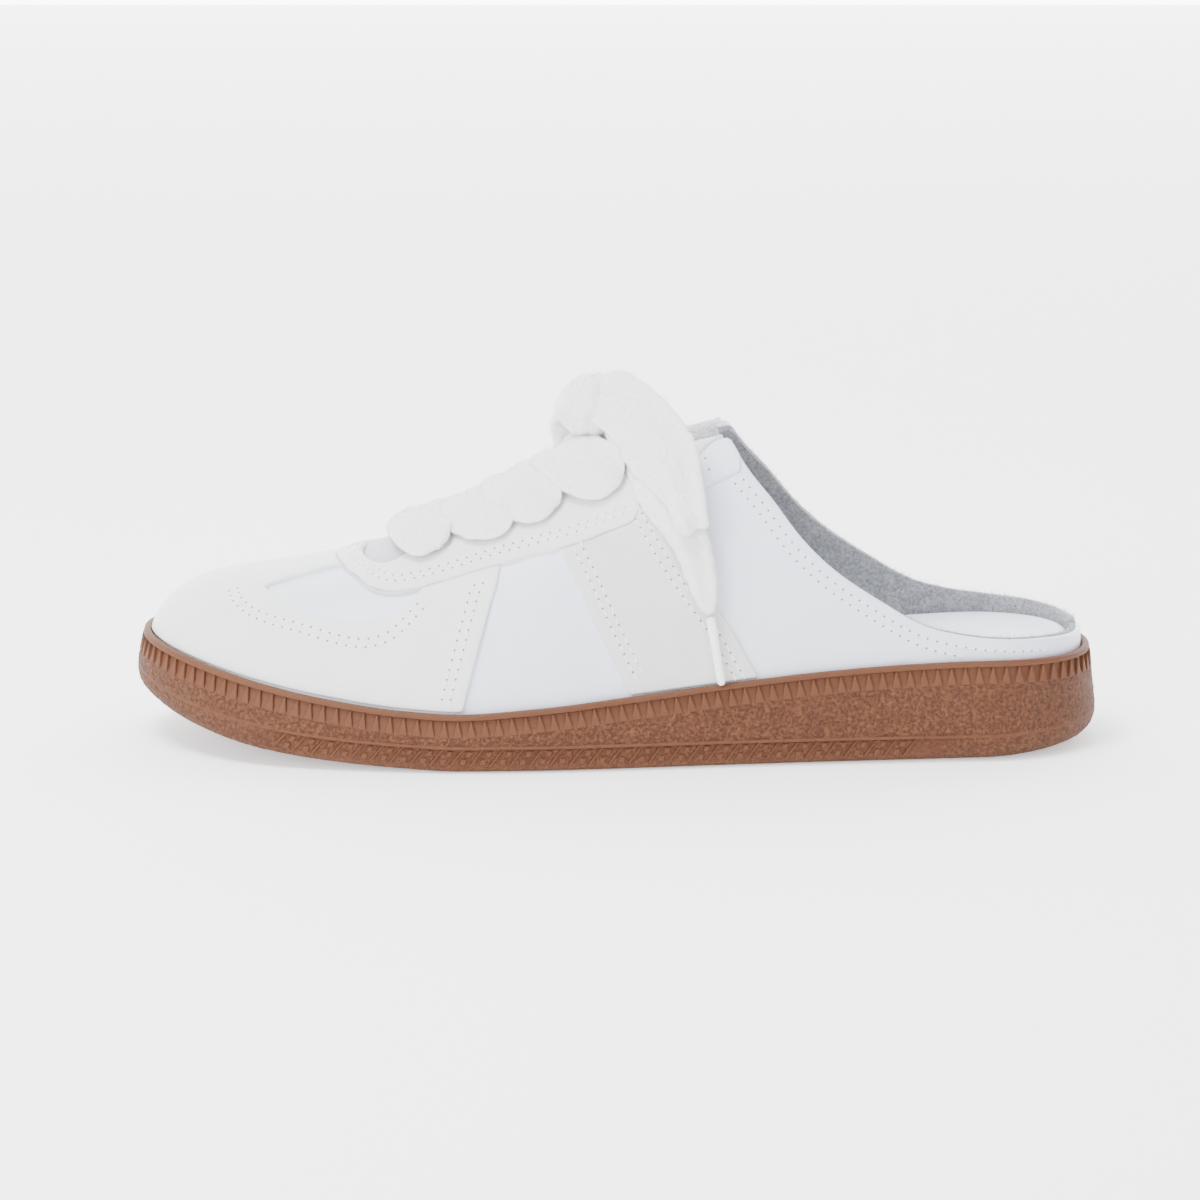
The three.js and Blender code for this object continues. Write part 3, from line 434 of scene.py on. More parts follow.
def outline_offset(k, side, out):
    """The sole's widest outline moved outwards. k runs from 0 at the toe to 1 at the heel, side is -1 outside."""
    k, side, out = np.broadcast_arrays(np.asarray(k, float), np.asarray(side, float), np.asarray(out, float))
    normal = [np.where(side < 0, np.interp(k, fine_k, fine_normal[-1][n]), np.interp(k, fine_k, fine_normal[1][n]))
              for n in (0, 1)]
    return outline_point(k, side) + np.stack(normal, -1) * out[..., None]


def lip_height(at):
    return sole["lip"](at) * heel_lip_height


def underside(at):
    return sole["under"](at) * toe_spring


def lip_inset(at):
    return sole["flare"](at) * wall_flare


def edge(at):
    return sole["edge"](at) * sole_edge_radius


def band_top(at):
    return underside(at) + np.maximum(tread_band_height, edge(at) + edge_round)


def wall_out(at, z):
    foot = band_top(at) + edge_round
    return -lip_inset(at) * (z - foot) / (lip_height(at) - edge_round - foot)


def even_ks(count, side):
    fine = np.linspace(0, 1, 4001)
    p = outline_point(fine, side)
    run = np.concatenate([[0], np.cumsum(np.linalg.norm(np.diff(p, axis=0), axis=1))])
    return np.interp(np.linspace(0, run[-1], count + 1), run, fine), run[-1]


def around_sole(count):
    """k and side at even steps all round, outer side first."""
    outer, _ = even_ks(count, -1)
    inner, _ = even_ks(count, 1)
    return np.concatenate([outer, inner[-2:0:-1]]), np.concatenate([-np.ones(count + 1), np.ones(count - 1)])


side_columns = 560
loop_k, loop_side = around_sole(side_columns)
loop_at = eased_at(loop_k)
inner_out = -lip_inset(loop_at) - lip_thickness
lip = lip_height(loop_at)
foot_z = band_top(loop_at) + edge_round
teeth_top = lip - lip_band_height
teeth_foot = teeth_top - tooth_height
step_in = sole["band"](loop_at) * tread_band_step
profile = [(inner_out, sole["floor"](loop_at) * heel_lip_height, 0), (inner_out, lip - 1.0, 0)]
for turn_deg in (0, 45, 90):
    a = math.radians(turn_deg)
    profile.append((inner_out + 0.7 * (1 - math.cos(a)), lip - 0.7 + 0.7 * math.sin(a), 0))
for turn_deg in (90, 60, 30, 0):
    a = math.radians(turn_deg)
    profile.append((-lip_inset(loop_at) - 0.7 * (1 - math.cos(a)), lip - 0.7 + 0.7 * math.sin(a), 0))
profile.append((wall_out(loop_at, teeth_top + 0.25), teeth_top + 0.25, 0))
profile.append((wall_out(loop_at, teeth_top) - 0.15, teeth_top, 0))
profile.append((wall_out(loop_at, teeth_top) - tooth_depth, teeth_top - 0.2, 0))
for share in (0.25, 0.5, 0.75):
    z = teeth_top - share * tooth_height
    profile.append((wall_out(loop_at, z) - tooth_depth * (1.0 - 0.4 * share), z, 0))
profile.append((wall_out(loop_at, teeth_foot) - 0.35 * tooth_depth, teeth_foot + 0.25, 0))
profile.append((wall_out(loop_at, teeth_foot) - 0.05, teeth_foot, 0.6))
for share in np.linspace(0.04, 1, 24):
    z = teeth_foot * (1 - share) + foot_z * share
    profile.append((wall_out(loop_at, z), z, 1))
bead = sole["band"](loop_at) * 0.5
for turn_deg in (90, 45, 0, -45, -90):
    a = math.radians(turn_deg)
    profile.append((bead * math.cos(a), band_top(loop_at) + 0.45 * math.sin(a), 0.3))
low_edge = underside(loop_at) + edge(loop_at)
for share in (0.0, 0.25, 0.5, 0.75):
    z = (band_top(loop_at) - 0.5) * (1 - share) + np.minimum(low_edge, band_top(loop_at) - 0.6) * share
    profile.append((-step_in, z, 0.6 + 0.4 * (1 - sole["band"](loop_at))))
for turn_deg in np.linspace(0, 90, 10):
    a = math.radians(turn_deg)
    z = np.minimum(underside(loop_at) + edge(loop_at) * (1 - math.sin(a)), band_top(loop_at) - 0.6)
    profile.append((-step_in - edge(loop_at) * (1 - math.cos(a)), z, 0.6 + 0.4 * (1 - sole["band"](loop_at))))


def pebble(points, size, height):
    return height * np.array([
        noise.noise(Vector(p) / size) + 0.5 * noise.noise(Vector(p) / size * 2.1 + Vector((9, 3, 5))) for p in points
    ])


rows, pebbled = [], []
for out, z, rough in profile:
    xy = outline_offset(loop_k, loop_side, out)
    points = np.concatenate([xy, np.broadcast_to(z, loop_at.shape)[:, None]], 1)
    rough = np.broadcast_to(rough, loop_at.shape)
    if rough.max() > 0.5:
        lift = pebble(points, 1.25, 0.24) * rough
        xy = outline_offset(loop_k, loop_side, out + lift)
        points[:, :2] = xy
    rows.append(points)
    pebbled.append(rough)
rows = np.array(rows)
around = len(loop_k)
faces = tube_faces(len(rows), around)[:-2]


def strip_cap(first, around, turned):
    """Closes a loop round the shoe by strips from its outer side to its inner side."""
    half = around // 2
    found = []
    for n in range(half):
        a, b = first + n, first + n + 1
        c, d = first + (around - n - 1) % around, first + (around - n) % around
        if n == 0:
            found.append((a, b, c))
        elif n == half - 1:
            found.append((a, b, d))
        else:
            found.append((a, b, c, d))
    return [f[::-1] if turned else f for f in found]


faces += strip_cap(0, around, True) + strip_cap((len(rows) - 1) * around, around, False)
sole_body = face_out(add_piece("sole_rubber", rows.reshape(-1, 3), faces))
sole_body.data.set_sharp_from_angle(angle=math.radians(50))
marks = sole_body.data.attributes.new("pebbled", "FLOAT", "POINT")
marks.data.foreach_set("value", np.array(pebbled, np.float32).ravel())
def gum_of(name, coarse):
    """Gum rubber, translucent brown: grainy where the mould is pebbled, plain on the lip, teeth and ribs."""
    s = Shade(name)
    speck = s.noise(0.9, 5, 0.7)
    broad = s.noise(14, 3)
    grain = speck.above(0.34, 0.62) * coarse(s) + 0.55 * (1 - coarse(s))
    return s.finish(
        s.mix(grain, colour_of("452616"), s.mix(broad, colour_of("643c26"), colour_of("6d452d"))),
        speck * 0.2 + 0.6, grain, 0.25, Specular_IOR_Level=0.3,
    )


gum = gum_of("pebbled_gum", lambda s: s.node("ShaderNodeAttribute", {"attribute_name": "pebbled"}, output="Fac"))
paint(sole_body, gum, "gum_rubber", "outsole")

# Teeth and tread: what the mould adds to the wall, a ring of upright teeth under the lip and, on the band below,
# slanted ribs with two small blocks between each two of them, all set at even steps along the wall.


def set_along(name, lines, piece, tree_sizes):
    """Geometry Nodes: copies of a small piece at even steps on lines, its X along the line and its Z outwards.
    Each line is its points, its outward directions, whether it is closed, and how many copies it takes."""
    tree = bpy.data.node_groups.get("set along a line") or line_tree()
    made = []
    for points, outward, closed, count in lines:
        mesh = bpy.data.meshes.new("line")
        n = len(points)
        edges = [(i, (i + 1) % n) for i in range(n if closed else n - 1)]
        mesh.from_pydata([tuple(p) for p in np.asarray(points) * mm], edges, [])
        mesh.attributes.new("outward", "FLOAT_VECTOR", "POINT").data.foreach_set(
            "vector", np.asarray(outward, np.float32).ravel()
        )
        line = bpy.data.objects.new("line", mesh)
        bpy.context.scene.collection.objects.link(line)
        set_up = line.modifiers.new("set along", "NODES")
        set_up.node_group = tree
        give = {"Piece": piece, "Count": count, **tree_sizes}
        for socket in tree.interface.items_tree:
            if socket.item_type == "SOCKET" and socket.in_out == "INPUT" and socket.name in give:
                set_up[socket.identifier] = give[socket.name]
        made.append(line)
    return join_evaluated(name, made)


def join_evaluated(name, objects):
    bpy.context.view_layer.update()
    depsgraph = bpy.context.evaluated_depsgraph_get()
    bm = bmesh.new()
    for o in objects:
        mesh = bpy.data.meshes.new_from_object(o.evaluated_get(depsgraph))
        bm.from_mesh(mesh)
        bpy.data.meshes.remove(mesh)
    joined = bpy.data.meshes.new(name)
    bm.to_mesh(joined)
    bm.free()
    for o in objects:
        bpy.data.objects.remove(o)
    piece = bpy.data.objects.new(name, joined)
    bpy.context.scene.collection.objects.link(piece)
    return piece


class Tree:
    """A Geometry Nodes tree under construction; add() makes one node from its settings and its inputs."""

    def __init__(self, name):
        self.group = bpy.data.node_groups.new(name, "GeometryNodeTree")
        self.group.interface.new_socket("Geometry", in_out="INPUT", socket_type="NodeSocketGeometry")
        self.group.interface.new_socket("Geometry", in_out="OUTPUT", socket_type="NodeSocketGeometry")
        self.start = self.group.nodes.new("NodeGroupInput")
        self.end = self.group.nodes.new("NodeGroupOutput")

    def given(self, name, kind, value=None):
        socket = self.group.interface.new_socket(name, in_out="INPUT", socket_type="NodeSocket" + kind)
        if value is not None:
            socket.default_value = value
        return self.start.outputs[name]

    def add(self, kind, settings=None, **inputs):
        node = self.group.nodes.new(kind)
        for key, value in (settings or {}).items():
            setattr(node, key, value)
        for key, value in inputs.items():
            socket = node.inputs[key.replace("_", " ")]
            if isinstance(value, bpy.types.NodeSocket):
                self.group.links.new(value, socket)
            else:
                socket.default_value = value
        return node

    def finish(self, geometry, material):
        real = self.add("GeometryNodeRealizeInstances", Geometry=geometry)
        painted = self.add("GeometryNodeSetMaterial", Geometry=real.outputs[0], Material=material)
        self.group.links.new(painted.outputs[0], self.end.inputs[0])
        return self.group


def line_tree():
    tree = Tree("set along a line")
    piece = tree.given("Piece", "Object")
    count = tree.given("Count", "Int", 10)
    size = tree.given("Size", "Vector", (1, 1, 1))
    material = tree.given("Material", "Material")
    wander = tree.given("Wander", "Float", 0.0)
    seed = tree.given("Seed", "Int", 7)
    curve = tree.add("GeometryNodeMeshToCurve", Mesh=tree.start.outputs[0])
    even = tree.add("GeometryNodeResampleCurve", {"mode": "COUNT"}, Curve=curve.outputs[0], Count=count)
    tangent = tree.add("GeometryNodeInputTangent")
    outward = tree.add("GeometryNodeInputNamedAttribute", {"data_type": "FLOAT_VECTOR"}, Name="outward")
    facing = tree.add(
        "FunctionNodeAxesToRotation",
        {"primary_axis": "X", "secondary_axis": "Z"},
        Primary_Axis=tangent.outputs[0],
        Secondary_Axis=outward.outputs[0],
    )
    low = tree.add("ShaderNodeMath", {"operation": "MULTIPLY"})
    tree.group.links.new(wander, low.inputs[0])
    low.inputs[1].default_value = -1
    change = tree.add("FunctionNodeRandomValue", {"data_type": "FLOAT"})
    tree.group.links.new(low.outputs[0], change.inputs[2])
    tree.group.links.new(wander, change.inputs[3])
    tree.group.links.new(seed, change.inputs["Seed"])
    tilt = tree.add("ShaderNodeCombineXYZ", Z=change.outputs[1])
    turned = tree.add("FunctionNodeRotateRotation", {"rotation_space": "LOCAL"}, Rotation=facing.outputs[0])
    tree.group.links.new(tilt.outputs[0], turned.inputs[1])
    shape = tree.add("GeometryNodeObjectInfo", Object=piece)
    copies = tree.add(
        "GeometryNodeInstanceOnPoints",
        Points=even.outputs[0],
        Instance=shape.outputs["Geometry"],
        Rotation=turned.outputs[0],
        Scale=size,
    )
    return tree.finish(copies.outputs[0], material)


def small_piece(name, levels):
    """A little prism with softened edges: each level is a height and an outline in its own plane."""
    points = [(x, y, z) for z, outline in levels for x, y in outline]
    n = len(levels[0][1])
    faces = [
        (r * n + j, r * n + (j + 1) % n, (r + 1) * n + (j + 1) % n, (r + 1) * n + j)
        for r in range(len(levels) - 1)
        for j in range(n)
    ]
    faces += [tuple(range(n))[::-1], tuple((len(levels) - 1) * n + j for j in range(n))]
    piece = face_out(add_piece(name, points, faces))
    piece.data.shade_flat()
    return piece

tooth = small_piece("tooth", [
    (-1.1, [(-1.50, -0.2), (1.50, -0.2), (0.20, 4.5), (-0.20, 4.5)]),
    (0.0, [(-1.35, -0.1), (1.35, -0.1), (0.14, 4.4), (-0.14, 4.4)]),
    (0.16, [(-1.05, 0.1), (1.05, 0.1), (0.05, 3.9), (-0.05, 3.9)]),
])
rib = small_piece("rib", [
    (-0.8, [(-2.45, -4.9), (-1.45, -4.9), (2.10, 0.2), (1.10, 0.2)]),
    (0.30, [(-2.30, -4.8), (-1.65, -4.8), (1.95, 0.1), (1.30, 0.1)]),
    (0.50, [(-2.10, -4.6), (-1.85, -4.6), (1.75, 0.0), (1.50, 0.0)]),
])
block = small_piece("block", [
    (-0.6, [(-1.05, -0.85), (0.65, -0.85), (1.15, 0.85), (-0.55, 0.85)]),
    (0.25, [(-0.95, -0.75), (0.60, -0.75), (1.05, 0.75), (-0.45, 0.75)]),
    (0.45, [(-0.60, -0.45), (0.40, -0.45), (0.65, 0.45), (-0.25, 0.45)]),
])


def wall_line(ks, sides, height, lift=0.0):
    """Points of the wall at a height given as a function of the share of length, with outward directions."""
    at = eased_at(ks)
    z = height(at)
    out = np.where(z > band_top(at), wall_out(at, z), -sole["band"](at) * tread_band_step) + lift
    points = np.concatenate([outline_offset(ks, sides, out), z[:, None]], 1)
    slope = lip_inset(at) / (lip_height(at) - edge_round - band_top(at) - edge_round)
    flat = outline_offset(ks, sides, 1.0) - outline_offset(ks, sides, 0.0)
    up = np.where(z > band_top(at), slope, 0.0)
    return points, unit(np.concatenate([flat, up[:, None]], 1))


def teeth_line(at):
    return lip_height(at) - lip_band_height - tooth_height


def line_length(points):
    return np.linalg.norm(np.diff(points, axis=0), axis=1).sum()


ring_points, ring_out = wall_line(loop_k, loop_side, teeth_line)
gum_sizes = {"Size": (1, 1, 1), "Wander": 0.0, "Seed": 7}
tooth_count = round(line_length(ring_points) / tooth_pitch)
teeth = set_along("sole_teeth", [(ring_points, ring_out, True, tooth_count)], tooth, gum_sizes)
band_from, band_to = 0.158, 0.802
rib_lines, block_lines = [], []
for side in (-1, 1):
    ks, _ = even_ks(side_columns, side)
    ks = ks[(eased_at(ks) > band_from) & (eased_at(ks) < band_to)]
    ks = ks if side < 0 else ks[::-1]
    sides = np.full(len(ks), side)
    top, facing = wall_line(ks, sides, lambda at: band_top(at) - 0.3)
    count = round(line_length(top) / rib_pitch)
    rib_lines.append((top, facing, False, count))
    run = np.concatenate([[0], np.cumsum(np.linalg.norm(np.diff(top, axis=0), axis=1))])
    for drop, shift in ((1.7, 0.57), (3.9, 0.27)):
        spots = (np.arange(count - 1) + shift) * run[-1] / (count - 1)
        spot_ks = np.interp(spots, run, ks)
        points, facing = wall_line(spot_ks, sides[:count - 1], lambda at: band_top(at) - drop)
        block_lines.append((points, facing, False, count - 1))
ribs = set_along("tread_ribs", rib_lines, rib, gum_sizes)
blocks = set_along("tread_blocks", block_lines, block, gum_sizes)
for mould in (tooth, rib, block):
    bpy.data.objects.remove(mould)

plain_gum = gum_of("plain_gum", lambda s: s.noise(3, 2) * 0.2)
for piece in (teeth, ribs, blocks):
    paint(piece, plain_gum, "gum_rubber")

# Upper: two quarters and a vamp of soft smooth leather, lasted over a foot shape, folded in under the footbed
# and open behind: only a low rim goes round the heel. All its panels lie on the same last.
instep_height = 92.0
fit_gap = 0.3
leather_thickness = 1.3
last_places = (0.00, 0.10, 0.16, 0.22, 0.30, 0.38, 0.48, 0.56, 0.64, 0.80, 1.00)
last_rows = {
    "ridge": (0.445, 0.485, 0.511, 0.545, 0.625, 0.720, 0.855, 0.955, 1.010, 1.030, 1.000),
    "round": (2.3, 2.3, 2.3, 2.2, 2.1, 2.0, 2.0, 2.0, 2.0, 2.2, 2.4),
    "lean": (2.3, 2.2, 2.1, 2.0, 2.0, 2.0, 2.0, 2.0, 2.1, 2.4, 2.8),
}
toe_rise = (0.13, 3.2, 2.9)
heel_rise = (0.12, 4.0, 3.0)
last = {name: table_curve(last_places, values) for name, values in last_rows.items()}


def foot_height(at):
    return sole["floor"](at) * heel_lip_height + fit_gap


def foot_point(k, side, out):
    return outline_offset(k, side, out - lip_inset(eased_at(k)) - lip_thickness - fit_gap)


fine_at = eased_at(fine_k)
fine_rise = cap_value(toe_rise, fine_at) * cap_value(heel_rise, 1 - fine_at)
fine_foot = foot_height(fine_at)
fine_ridge = [
    (foot_point(fine_k, -1, 0)[:, 0] + foot_point(fine_k, 1, 0)[:, 0]) / 2,
    fine_foot + (last["ridge"](fine_at) * instep_height - fine_foot) * fine_rise,
]


def ridge_point(k):
    k = np.asarray(k, float)
    outside = (k < 0) | (k > 1)
    k = np.where(k < 0, -k, np.where(k > 1, 2 - k, k))
    x, z = (np.interp(k, fine_k, values) for values in fine_ridge)
    return np.stack([x, np.where(outside, 2 * np.interp(k, fine_k, fine_foot) - z, z)], -1)


def last_point(k, turn, out):
    """Outer face of the upper moved outwards by out: turn is 0 at the outer foot, 0.5 on top, 1 at the inner foot."""
    k, turn, out = np.broadcast_arrays(np.asarray(k, float), np.asarray(turn, float), np.asarray(out, float))
    at = eased_at(k)
    low = np.interp(k, fine_k, fine_foot)
    along = unit(ridge_point(k + 1e-3) - ridge_point(k - 1e-3))
    ridge = ridge_point(k) + np.stack([-along[..., 1], along[..., 0]], -1) * out[..., None]
    outer, inner = foot_point(k, -1, out), foot_point(k, 1, out)
    middle = (outer[..., 1] + inner[..., 1]) / 2
    foot = np.where((turn < 0.5)[..., None], outer, inner)
    across = np.abs(np.cos(turn * np.pi)) ** (2 / last["round"](at))
    up = np.abs(np.sin(turn * np.pi)) ** (2 / last["lean"](at))
    return np.stack([
        ridge[..., 0] + (foot[..., 0] - ridge[..., 0]) * across,
        middle + (foot[..., 1] - middle) * across,
        low + (ridge[..., 1] - low) * up,
    ], -1)


def last_normal(k, turn, out=0.0):
    e = 1e-3
    along = last_point(k + e, turn, out) - last_point(k - e, turn, out)
    over = last_point(k, np.clip(turn + e, 0, 1), out) - last_point(k, np.clip(turn - e, 0, 1), out)
    return unit(np.cross(along, over))


def middle_at(x):
    at = x / sole_length + 0.5
    return (sole["swing"](at) + (sole["medial"](at) - sole["lateral"](at)) / 2) * ball_width - box_middle


def plan_curve(rows, scale):
    """Half width of an outline that is the same on both sides of the shoe's middle line, for any x."""
    p = np.array(rows, float) * (sole_length, scale)
    p[:, 0] -= sole_length / 2
    mirrored = np.concatenate([p[:0:-1] * (1, -1), p])
    line = smooth_line(mirrored, 12)
    line = line[line[:, 1] >= 0]
    return lambda x: np.interp(x, line[:, 0], line[:, 1], left=-1.0, right=-1.0)


throat_across = plan_curve([
    (0.236, 0), (0.240, 0.60), (0.248, 1.02), (0.259, 1.27), (0.272, 1.32), (0.288, 1.22), (0.305, 1.10),
    (0.325, 1.03), (0.350, 1), (0.660, 1),
], 13.0)
eyestay_across = plan_curve([
    (0.210, 0), (0.219, 0.115), (0.240, 0.220), (0.262, 0.272), (0.300, 0.291), (0.380, 0.283), (0.453, 0.279),
    (0.500, 0.264), (0.518, 0.257), (0.5245, 0.236), (0.530, 0.214), (0.545, 0.198), (0.575, 0.182), (0.602, 0.140),
    (0.640, 0.125),
], ball_width)
collar_rows = np.array([
    (0.545, 1.020), (0.612, 0.960), (0.634, 0.862), (0.660, 0.773), (0.690, 0.662), (0.723, 0.571), (0.765, 0.486),
    (0.811, 0.407), (0.852, 0.373), (0.895, 0.357), (0.937, 0.350), (0.978, 0.338), (1.020, 0.328),
]) * (sole_length, instep_height) - (sole_length / 2, 0)
collar_line = np.concatenate([collar_rows[:1], smooth_line(collar_rows[1:], 12)])


def collar_height(x):
    return np.where(x < collar_line[0, 0], 999.0, np.interp(x, collar_line[:, 0], collar_line[:, 1]))


def in_throat(p, grow=0.0):
    return np.abs(p[..., 1] - middle_at(p[..., 0])) < throat_across(p[..., 0] - grow) + grow


def in_eyestay(p, grow=0.0):
    return np.abs(p[..., 1] - middle_at(p[..., 0])) < eyestay_across(p[..., 0] + grow) + grow


def above_collar(p, raised=0.0):
    return p[..., 2] > collar_height(p[..., 0]) + raised


def above_lip(p, raised=fit_gap):
    return p[..., 2] > lip_height(np.clip(p[..., 0] / sole_length + 0.5, 0, 1)) + raised


@functools.lru_cache(maxsize=None)
def last_grid(side, out):
    """Fine steps of k, fine steps of turn up from the foot of a side, and the points of the last at them."""
    ks = np.clip(eased_at(np.linspace(0, 1, 560)), 1e-4, 1 - 1e-4)
    steps = np.linspace(0, 0.5, 181)
    return ks, steps, last_point(ks[:, None], steps[None] if side < 0 else 1 - steps[None], out)


def border(found, side, out=0.0):
    """Where a region starts, going up from the foot of a side: a line of k and turn, toe to heel."""
    ks, steps, points = last_grid(side, out)
    hit = found(points)
    first = hit.argmax(1)
    low, high = steps[np.maximum(first - 1, 0)], steps[first]
    for _ in range(12):
        half = (low + high) / 2
        inside = found(last_point(ks, half if side < 0 else 1 - half, out))
        low, high = np.where(inside, low, half), np.where(inside, half, high)
    turn = (low + high) / 2
    return np.stack([ks, turn if side < 0 else 1 - turn], 1)[hit.any(1)]


chart_k = np.linspace(0, 1, 801)
chart_run = np.concatenate([[0], np.cumsum(np.linalg.norm(np.diff(last_point(chart_k, 0.3, 0), axis=0), axis=1))])
section = last_point(chart_k[:, None], np.linspace(0, 1, 41)[None], 0)
chart_girth = np.maximum(np.linalg.norm(np.diff(section, axis=1), axis=2).sum(1), 0.3)


def to_chart(kt):
    """k and turn as flat lengths in millimetres, for spacing points evenly."""
    kt = np.asarray(kt, float)
    return np.stack([
        np.interp(kt[:, 0], chart_k, chart_run), (kt[:, 1] - 0.5) * np.interp(kt[:, 0], chart_k, chart_girth)
    ], 1)


def from_chart(sw):
    k = np.interp(sw[:, 0], chart_run, chart_k)
    return np.stack([k, np.clip(sw[:, 1] / np.interp(k, chart_k, chart_girth) + 0.5, 0, 1)], 1)


def evened(line, spacing, closed=True):
    p = np.concatenate([line, line[:1]]) if closed else line
    run = np.concatenate([[0], np.cumsum(np.linalg.norm(np.diff(p, axis=0), axis=1))])
    n = max(int(round(run[-1] / spacing)), 3)
    steps = np.linspace(0, run[-1], n + 1)[:n if closed else n + 1]
    return np.stack([np.interp(steps, run, p[:, 0]), np.interp(steps, run, p[:, 1])], 1)


def inside_loop(points, loop):
    x, y = points[:, 0][:, None], points[:, 1][:, None]
    a, b = loop[None], np.roll(loop, -1, 0)[None]
    crosses = ((a[..., 1] > y) != (b[..., 1] > y)) & (
        x < (b[..., 0] - a[..., 0]) * (y - a[..., 1]) / np.where(b[..., 1] == a[..., 1], 1e-9, b[..., 1] - a[..., 1]) + a[..., 0]
    )
    return crosses.sum(1) % 2 == 1


def area_of(loop):
    x, y = loop[:, 0], loop[:, 1]
    return 0.5 * (x * np.roll(y, -1) - np.roll(x, -1) * y).sum()


def inset(loop, distance):
    """A counter-clockwise closed loop moved inwards."""
    along = unit(np.roll(loop, -1, 0) - np.roll(loop, 1, 0))
    return loop + distance * np.stack([-along[:, 1], along[:, 0]], 1)


def on_last(name, outer, holes=(), low=0.0, high=1.2, spacing=1.6, edge_step=0.9, bevel=0.45, shift=None):
    """A panel that lies on the last: its borders are lines of k and turn, and it goes from low up to high.
    Its upper edge is rounded, and shift may raise its face by a height for each point."""
    loops = []
    for n, line in enumerate([outer, *holes]):
        flat = evened(to_chart(line), edge_step)
        if (area_of(flat) > 0) != (n == 0):
            flat = flat[::-1]
        loops.append(flat)
    rings = [[loop, inset(loop, 0.35 * bevel), inset(loop, bevel)] for loop in loops]
    inner = [ring[-1] for ring in rings]
    low_corner, high_corner = loops[0].min(0), loops[0].max(0)
    gx = np.arange(low_corner[0], high_corner[0], spacing)
    gy = np.arange(low_corner[1], high_corner[1], spacing * 0.87)
    lattice = np.stack(np.meshgrid(gx, gy), -1)
    lattice[1::2, :, 0] += spacing / 2
    lattice = lattice.reshape(-1, 2)
    keep = inside_loop(lattice, inner[0])
    for hole in inner[1:]:
        keep &= ~inside_loop(lattice, hole)
    lattice = lattice[keep]
    edge_points = np.concatenate(inner)
    near = np.array([
        np.min(((edge_points - p) ** 2).sum(1)) for p in lattice
    ]) if len(lattice) else np.zeros(0)
    lattice = lattice[near > (0.55 * spacing) ** 2]
    flat = np.concatenate([edge_points, lattice])
    edges, start = [], 0
    for loop in inner:
        edges += [(start + i, start + (i + 1) % len(loop)) for i in range(len(loop))]
        start += len(loop)
    cdt = delaunay_2d_cdt([Vector(p) for p in flat], edges, [], 0, 1e-5)
    flat2 = np.array([tuple(v) for v in cdt[0]])
    source = [ids[0] if ids else -1 for ids in cdt[3]]
    triangles = np.array([f for f in cdt[2] if len(f) == 3])
    middle = flat2[triangles].mean(1)
    keep = inside_loop(middle, inner[0])
    for hole in inner[1:]:
        keep &= ~inside_loop(middle, hole)
    triangles = triangles[keep]
    kt = from_chart(flat2)
    bump = np.zeros(len(kt)) if shift is None else shift(kt)
    top = last_point(kt[:, 0], kt[:, 1], high) + last_normal(kt[:, 0], kt[:, 1]) * bump[:, None]
    bottom = last_point(kt[:, 0], kt[:, 1], low)
    count = len(flat2)
    points = [top, bottom]
    faces = [tuple(t) for t in triangles] + [tuple(count + t[::-1]) for t in triangles]
    index_of = {s: i for i, s in enumerate(source) if s >= 0}
    base = 2 * count
    start = 0
    for ring in rings:
        n = len(ring[0])
        inner_ids = [index_of[start + i] for i in range(n)]
        start += n
        ring_ids = [inner_ids]
        for loop, share in ((ring[1], 0.88), (ring[0], 0.45), (ring[0], 0.0)):
            kt_ring = from_chart(loop)
            lifted = 0 if shift is None else shift(kt_ring) * share
            p = last_point(kt_ring[:, 0], kt_ring[:, 1], low + (high - low) * share)
            if shift is not None:
                p = p + last_normal(kt_ring[:, 0], kt_ring[:, 1]) * lifted[:, None]
            points.append(p)
            ring_ids.append(list(range(base, base + n)))
            base += n
        ring_ids.append([count + i for i in inner_ids])
        for upper, lower in zip(ring_ids[:-1], ring_ids[1:]):
            faces += [(upper[i], lower[i], lower[(i + 1) % n], upper[(i + 1) % n]) for i in range(n)]
    piece = add_piece(name, np.concatenate(points), faces)
    face_out(piece)
    piece.data.set_sharp_from_angle(angle=math.radians(60))
    return piece


def opening(side, raised=0.0):
    """Edge of the throat and of the collar on one side, toe to heel."""
    return border(lambda p: in_throat(p) | above_collar(p, raised), side)


def low_line(side, raised=fit_gap, out=0.0):
    return border(lambda p: above_lip(p, raised), side, out=out)


def ring_of(outer, inner):
    """A closed border from its outer side, toe to heel, and its inner side back to the toe."""
    return np.concatenate([outer, inner[::-1]])


# Eyelets: plain punched holes, one at each end of every bar of the lace
lace_rows = [
    (0.296, 0.026, 0.350, 0.93, 0.9, 0.82), (0.345, 0.052, 0.339, 0.98, 0.0, 0.76),
    (0.400, 0.042, 0.336, 1.06, 1.0, 0.74), (0.458, 0.050, 0.333, 1.14, 1.7, 0.74),
]
eyelet_radius = 2.0


def eyelet_spot(row, side):
    at, lean, turn_end, _, _, from_middle = row
    place = at + lean * from_middle ** 2.2
    turn = 0.5 + side * from_middle * (0.5 - turn_end)
    return math.acos(1 - 2 * place) / math.pi, turn


eyelets = []
for row in lace_rows:
    for side in (-1, 1):
        angle = 2 * np.pi * np.arange(24) / 24
        ring = eyelet_radius * np.stack([np.cos(angle), np.sin(angle)], 1)
        eyelets.append(from_chart(to_chart([eyelet_spot(row, side)]) + ring))
upper_low = ring_of(low_line(-1, -3.5), low_line(1, -3.5))
upper_hole = ring_of(opening(-1), opening(1))


